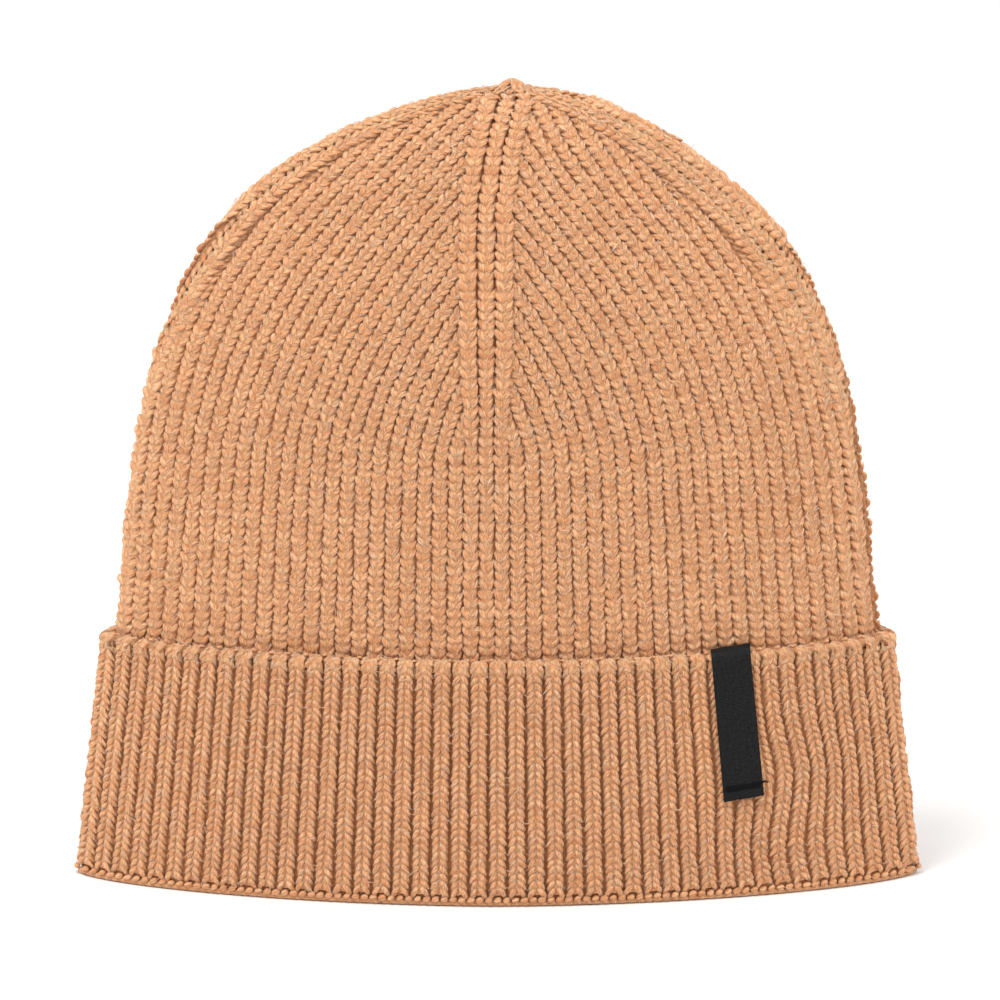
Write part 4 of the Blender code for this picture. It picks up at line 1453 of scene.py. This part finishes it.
def label_points(across, along, lift):
    """Points of the label: across in metres from its middle, along from its front end to its back end."""
    form, knit, _ = settings()
    trim = bpy.context.scene.hat_trim
    radius = knit.edge_radius
    reach = radius + lift
    straight = trim.label_length - radius
    turned = np.clip((along - straight) / reach, 0.0, math.pi)
    beyond = np.maximum(along - straight - math.pi * reach, 0.0)
    edge = form.cuff_height - radius
    z = edge - straight + np.minimum(along, straight) + reach * np.sin(turned) - beyond
    z = z + trim.label_tilt * across
    inset = radius - reach * np.cos(turned)
    middle = trim.label_from_front / cuff_axes(form.cuff_height)[0] / QUARTERS
    step = 1e-4
    near = stacked(*section(*cuff_axes(form.cuff_height), middle + np.array((-step, step))), 0.0)
    per_metre = 2.0 * step / np.linalg.norm(near[1] - near[0])
    level = np.minimum(z, form.cuff_height)
    half_width, half_depth = cuff_axes(level, inset)
    aside = across + trim.label_lean * np.clip((form.cuff_height - z) / trim.label_length, 0.0, 1.0)
    shares = (middle + aside * per_metre) * cuff_axes(level)[0] / half_width
    return stacked(*section(half_width, half_depth, shares), z)


def ribbon_mesh(whole):
    """The ribbon as a thin closed sheet, a little rippled towards its front end."""
    trim = bpy.context.scene.hat_trim
    along = np.linspace(0.0, whole, LABEL_ROWS)
    across = np.linspace(-0.5, 0.5, LABEL_COLUMNS + 1) * trim.label_width
    mesh = new_mesh()
    uv = mesh.loops.layers.uv[STRAND_MAP]
    layers = []
    for lift in (trim.label_lift, trim.label_lift + trim.label_thickness):
        rows = []
        for run in along:
            ripple = RIPPLE * np.sin(across * RIPPLE_ACROSS + run * RIPPLE_ALONG) * (1.0 - run / whole)
            points = label_points(across, np.full_like(across, run), lift + ripple)
            rows.append([mesh.verts.new(point) for point in points])
        layers.append(rows)
    under, over = layers

    last, end = LABEL_COLUMNS, LABEL_ROWS - 1
    squares = [((r, k), (r, k + 1), (r + 1, k + 1), (r + 1, k)) for r in range(end) for k in range(last)]
    rims = [((r, k), (r + 1, k)) for r in range(end) for k in (0, last)]
    rims += [((r, k), (r, k + 1)) for r in (0, end) for k in range(last)]
    quads = [[(over, place) for place in square] for square in squares]
    quads += [[(under, place) for place in reversed(square)] for square in squares]
    quads += [[(over, a), (over, b), (under, b), (under, a)] for a, b in rims]
    for corners in quads:
        face = mesh.faces.new([layer[r][k] for layer, (r, k) in corners])
        face.smooth = True
        for loop, (_, (r, k)) in zip(face.loops, corners):
            loop[uv].uv = (across[k], along[r])
    return mesh


def tack_mesh():
    """The bar tack: sewing thread to and fro across the ribbon, with a loose end."""
    trim = bpy.context.scene.hat_trim
    lift = trim.label_lift + trim.label_thickness + trim.thread_width / 4
    count = trim.tack_stitches * TACK_STEPS
    t = np.arange(count + 1) / count
    sway = np.sin(2.0 * math.pi * trim.tack_stitches * t)
    bar = label_points((t - 0.5) * trim.tack_width, trim.tack_from_end + sway * trim.tack_height / 2, lift)
    t = np.linspace(0.0, 1.0, TAIL_STEPS)[1:]
    tail = label_points(
        trim.tack_width / 2 + t * trim.tail_length,
        trim.tack_from_end + TAIL_RISE * np.sin(TAIL_BEND * t),
        lift - TAIL_DROP * t,
    )
    swell = np.concatenate((np.ones(len(bar)), TAIL_SWELL * (1.0 - TAIL_TAPER * t)))
    radius = trim.thread_width / 2 * swell
    mesh = new_mesh()
    sweep(mesh, np.concatenate((bar, tail)), radius, radius, (0.0, -1.0, 0.0), LEG_SIDES)
    return mesh


class HAT_OT_label(Operator):
    """Fold the ribbon label over the cuff's edge and tack its ends"""

    bl_idname = "hat.label"
    bl_label = "Label"

    def execute(self, context):
        knit = context.scene.hat_knit
        trim = context.scene.hat_trim
        radius = knit.edge_radius
        whole = 2.0 * (trim.label_length - radius) + math.pi * (radius + trim.label_lift)
        ribbon = piece("label_ribbon", ribbon_mesh(whole), "black_satin_ribbon", "label_ribbon", "label")
        piece("label_bar_tack", tack_mesh(), "black_spun_thread", "sewing_thread", "label_stitching")
        return {"FINISHED"}


FIBRE_RADIUS = 0.0001
FIBRE_TAPER = (1.0, 0.4)
FIBRE_SIDES = 3
FIBRE_SPAN = 0.8
FIBRE_LIFT = 0.00004
FIBRE_SIZES = (0.6, 1.2)
FUZZ_SEED = 30


def fibre_rows(rows, legs, count, rng):
    """Loose fibres on stitches chosen at random: most lie along a stitch's legs, some stray."""
    form, knit, _ = settings()
    trim = bpy.context.scene.hat_trim
    places, faces, wales, spreads = (np.concatenate(part) for part in zip(*rows))
    pick = rng.integers(0, len(places), count)
    place, face, wale, spread = places[pick], faces[pick], wales[pick], spreads[pick]
    aside = np.cross(wale, face)

    # A point on the surface of one of the two legs, and the leg's way there
    chosen = rng.integers(0, len(legs), count)
    steps = np.arange(len(LEG_SWELL))
    along = rng.uniform(0.0, steps[-1], count)
    off = rng.uniform(-FIBRE_SPAN, FIBRE_SPAN, count)
    local, way = np.zeros((count, 3)), np.zeros((count, 3))
    for k, (width, path) in enumerate(legs):
        own = chosen == k
        path = np.array(path) * (knit.rib_width, knit.crown_course, 1.0)
        for axis in range(3):
            local[own, axis] = np.interp(along[own], steps, path[:, axis])
            way[own, axis] = np.interp(along[own], steps, np.gradient(path[:, axis]))
        local[own, 0] += off[own] * width / 2
    bulge = np.sqrt(1.0 - off ** 2) * np.interp(along, steps, LEG_SWELL)
    local[:, 2] += LEG_THICKNESS / 2 * bulge + FIBRE_LIFT
    local, way = local * spread, unit(way * spread)

    # Its turn on the surface, its tilt away from it and its length
    stray = rng.random((count, 1)) < trim.stray_share
    turn = rng.normal(0.0, trim.leg_jitter, (count, 1))
    turn = np.where(stray, rng.uniform(0.0, 2.0 * math.pi, (count, 1)), turn)
    tilt = np.where(stray, rng.uniform(0.0, trim.fuzz_tilt, (count, 1)), 0.0)
    axes = np.stack((aside, wale, face), axis=1)
    place = place + np.einsum("ij,ijk->ik", local, axes)
    way = np.einsum("ij,ijk->ik", way, axes)
    beside = unit(np.cross(way, face))
    face = np.cross(beside, way)
    way = way * np.cos(turn) + beside * np.sin(turn)
    way, face = way * np.cos(tilt) + face * np.sin(tilt), face * np.cos(tilt) - way * np.sin(tilt)
    size = trim.fuzz_length * rng.uniform(*FIBRE_SIZES, (count, 1))
    place = place - way * size * np.where(stray, 0.0, 0.5)
    size = np.repeat(size, 3, axis=1)

    # None of them where the label lies
    clear = (
        (np.abs(place[:, 0] - trim.label_from_front) > trim.label_width)
        | (place[:, 2] < form.cuff_height - trim.label_length - trim.fuzz_length)
        | (place[:, 2] > form.cuff_height + trim.fuzz_length)
        | (place[:, 1] > 0.0)
    )
    return [(place[clear], face[clear], way[clear], size[clear])]


class HAT_OT_fuzz(Operator):
    """Raise the loose fibres that soften the wool"""

    bl_idname = "hat.fuzz"
    bl_label = "Fuzz"

    def execute(self, context):
        _, knit, _ = settings()
        trim = context.scene.hat_trim
        mesh = new_mesh()
        taper = np.array(FIBRE_TAPER) * FIBRE_RADIUS / trim.fuzz_length
        sweep(mesh, ((0.0, 0.0, 0.0), (0.0, 1.0, 0.0)), taper, taper, (0.0, 0.0, 1.0), FIBRE_SIDES)
        fibre = mesh_object("wool_fibre", from_bmesh("wool_fibre", mesh))
        rng = np.random.default_rng(knit.seed)
        for quarter, title in enumerate(QUARTER_NAMES):
            for part, rib, legs, count in (
                ("crown", rib_rows, CROWN_LEGS, trim.crown_fibres),
                ("cuff", cuff_rows, CUFF_LEGS, trim.cuff_fibres),
            ):
                rows = [rib(quarter, line) for line in rib_lines(quarter)]
                strewn = fibre_rows(rows, legs, count, rng)
                name = f"{part}_fuzz_{title}"
                fuzz = knitted(name, strewn, fibre, FUZZ_SEED + quarter, "camel_lambswool_fibre")
                finished(fuzz, "rib_knit")
        bpy.data.objects.remove(fibre, do_unlink=True)
        return {"FINISHED"}


FLOOR_HALF = 6.0
STUDIO_BRIGHTNESS = 1.05
LIGHT_TARGET = (0.0, 0.0, 0.1)
LIGHTS = (("key", (-0.75, -0.9, 2.15), 0.9, 33.0), ("fill", (1.2, -1.0, 1.6), 1.2, 9.0))
CAMERA_TARGET = (0.0006, 0.0, 0.0957)
CAMERA_ELEVATION = math.radians(11.5)
CAMERA_DISTANCE = 2.3
CAMERA_SENSOR = 36.0
CAMERA_CLIP = (0.1, 50.0)
VIEW_WIDTH = 0.25


class HAT_OT_stage(Operator):
    """Set the pale floor, the soft studio light and the camera"""

    bl_idname = "hat.stage"
    bl_label = "Stage"

    def execute(self, context):
        scene = context.scene
        floor = bpy.data.meshes.new("floor")
        corners = [(-1.0, -1.0), (1.0, -1.0), (1.0, 1.0), (-1.0, 1.0)]
        floor.from_pydata([(x * FLOOR_HALF, y * FLOOR_HALF, 0.0) for x, y in corners], [], [(0, 1, 2, 3)])
        floor.materials.append(material("matt_white_paper"))
        mesh_object("floor", floor)

        world = bpy.data.worlds.new("studio")
        world.use_nodes = True
        white = {"Color": (1.0, 1.0, 1.0, 1.0), "Strength": STUDIO_BRIGHTNESS}
        set_values(world.node_tree.nodes["Background"], white)
        scene.world = world
        for title, place, size, power in LIGHTS:
            light = bpy.data.lights.new(title, "AREA")
            light.shape = "DISK"
            light.size = size
            light.energy = power
            lamp = mesh_object(title, light)
            lamp.location = place
            lamp.rotation_euler = (Vector(LIGHT_TARGET) - Vector(place)).to_track_quat("-Z", "Y").to_euler()

        data = bpy.data.cameras.new("camera")
        data.sensor_width = CAMERA_SENSOR
        data.lens = CAMERA_SENSOR * CAMERA_DISTANCE / VIEW_WIDTH
        data.clip_start, data.clip_end = CAMERA_CLIP
        camera = mesh_object("camera", data)
        back = Vector((0.0, -math.cos(CAMERA_ELEVATION), math.sin(CAMERA_ELEVATION)))
        camera.location = Vector(CAMERA_TARGET) + back * CAMERA_DISTANCE
        camera.rotation_euler = (-back).to_track_quat("-Z", "Y").to_euler()
        scene.camera = camera
        scene.view_settings.view_transform = "Standard"
        return {"FINISHED"}


OPERATORS = (
    HAT_OT_crown_ground,
    HAT_OT_crown_cores,
    HAT_OT_crown_gores,
    HAT_OT_crown_darts,
    HAT_OT_cuff_ground,
    HAT_OT_cuff_cores,
    HAT_OT_cuff_ribs,
    HAT_OT_hem,
    HAT_OT_crown_knot,
    HAT_OT_back_seams,
    HAT_OT_label,
    HAT_OT_fuzz,
    HAT_OT_stage,
)


class HAT_PT_sidebar(Panel):
    """Steps of making the hat, in order"""

    bl_idname = "HAT_PT_sidebar"
    bl_label = "Rib-knit hat"
    bl_space_type = "VIEW_3D"
    bl_region_type = "UI"
    bl_category = "Hat"

    def draw(self, context):
        for operator in OPERATORS:
            self.layout.operator(operator.bl_idname)
        scene = context.scene
        for group in (scene.hat_form, scene.hat_knit, scene.hat_trim, scene.hat_colours):
            box = self.layout.box()
            for name in group.__annotations__:
                box.prop(group, name)


GROUPS = (HatForm, HatKnit, HatTrim, HatColours)


def register():
    for kind in (*GROUPS, *OPERATORS, HAT_PT_sidebar):
        bpy.utils.register_class(kind)
    bpy.types.Scene.hat_form = PointerProperty(type=HatForm)
    bpy.types.Scene.hat_knit = PointerProperty(type=HatKnit)
    bpy.types.Scene.hat_trim = PointerProperty(type=HatTrim)
    bpy.types.Scene.hat_colours = PointerProperty(type=HatColours)


def unregister():
    for name in ("hat_form", "hat_knit", "hat_trim", "hat_colours"):
        delattr(bpy.types.Scene, name)
    for kind in reversed((*GROUPS, *OPERATORS, HAT_PT_sidebar)):
        bpy.utils.unregister_class(kind)


def main():
    register()
    for operator in OPERATORS:
        group, name = operator.bl_idname.split(".")
        getattr(getattr(bpy.ops, group), name)()


if __name__ == "__main__":
    main()
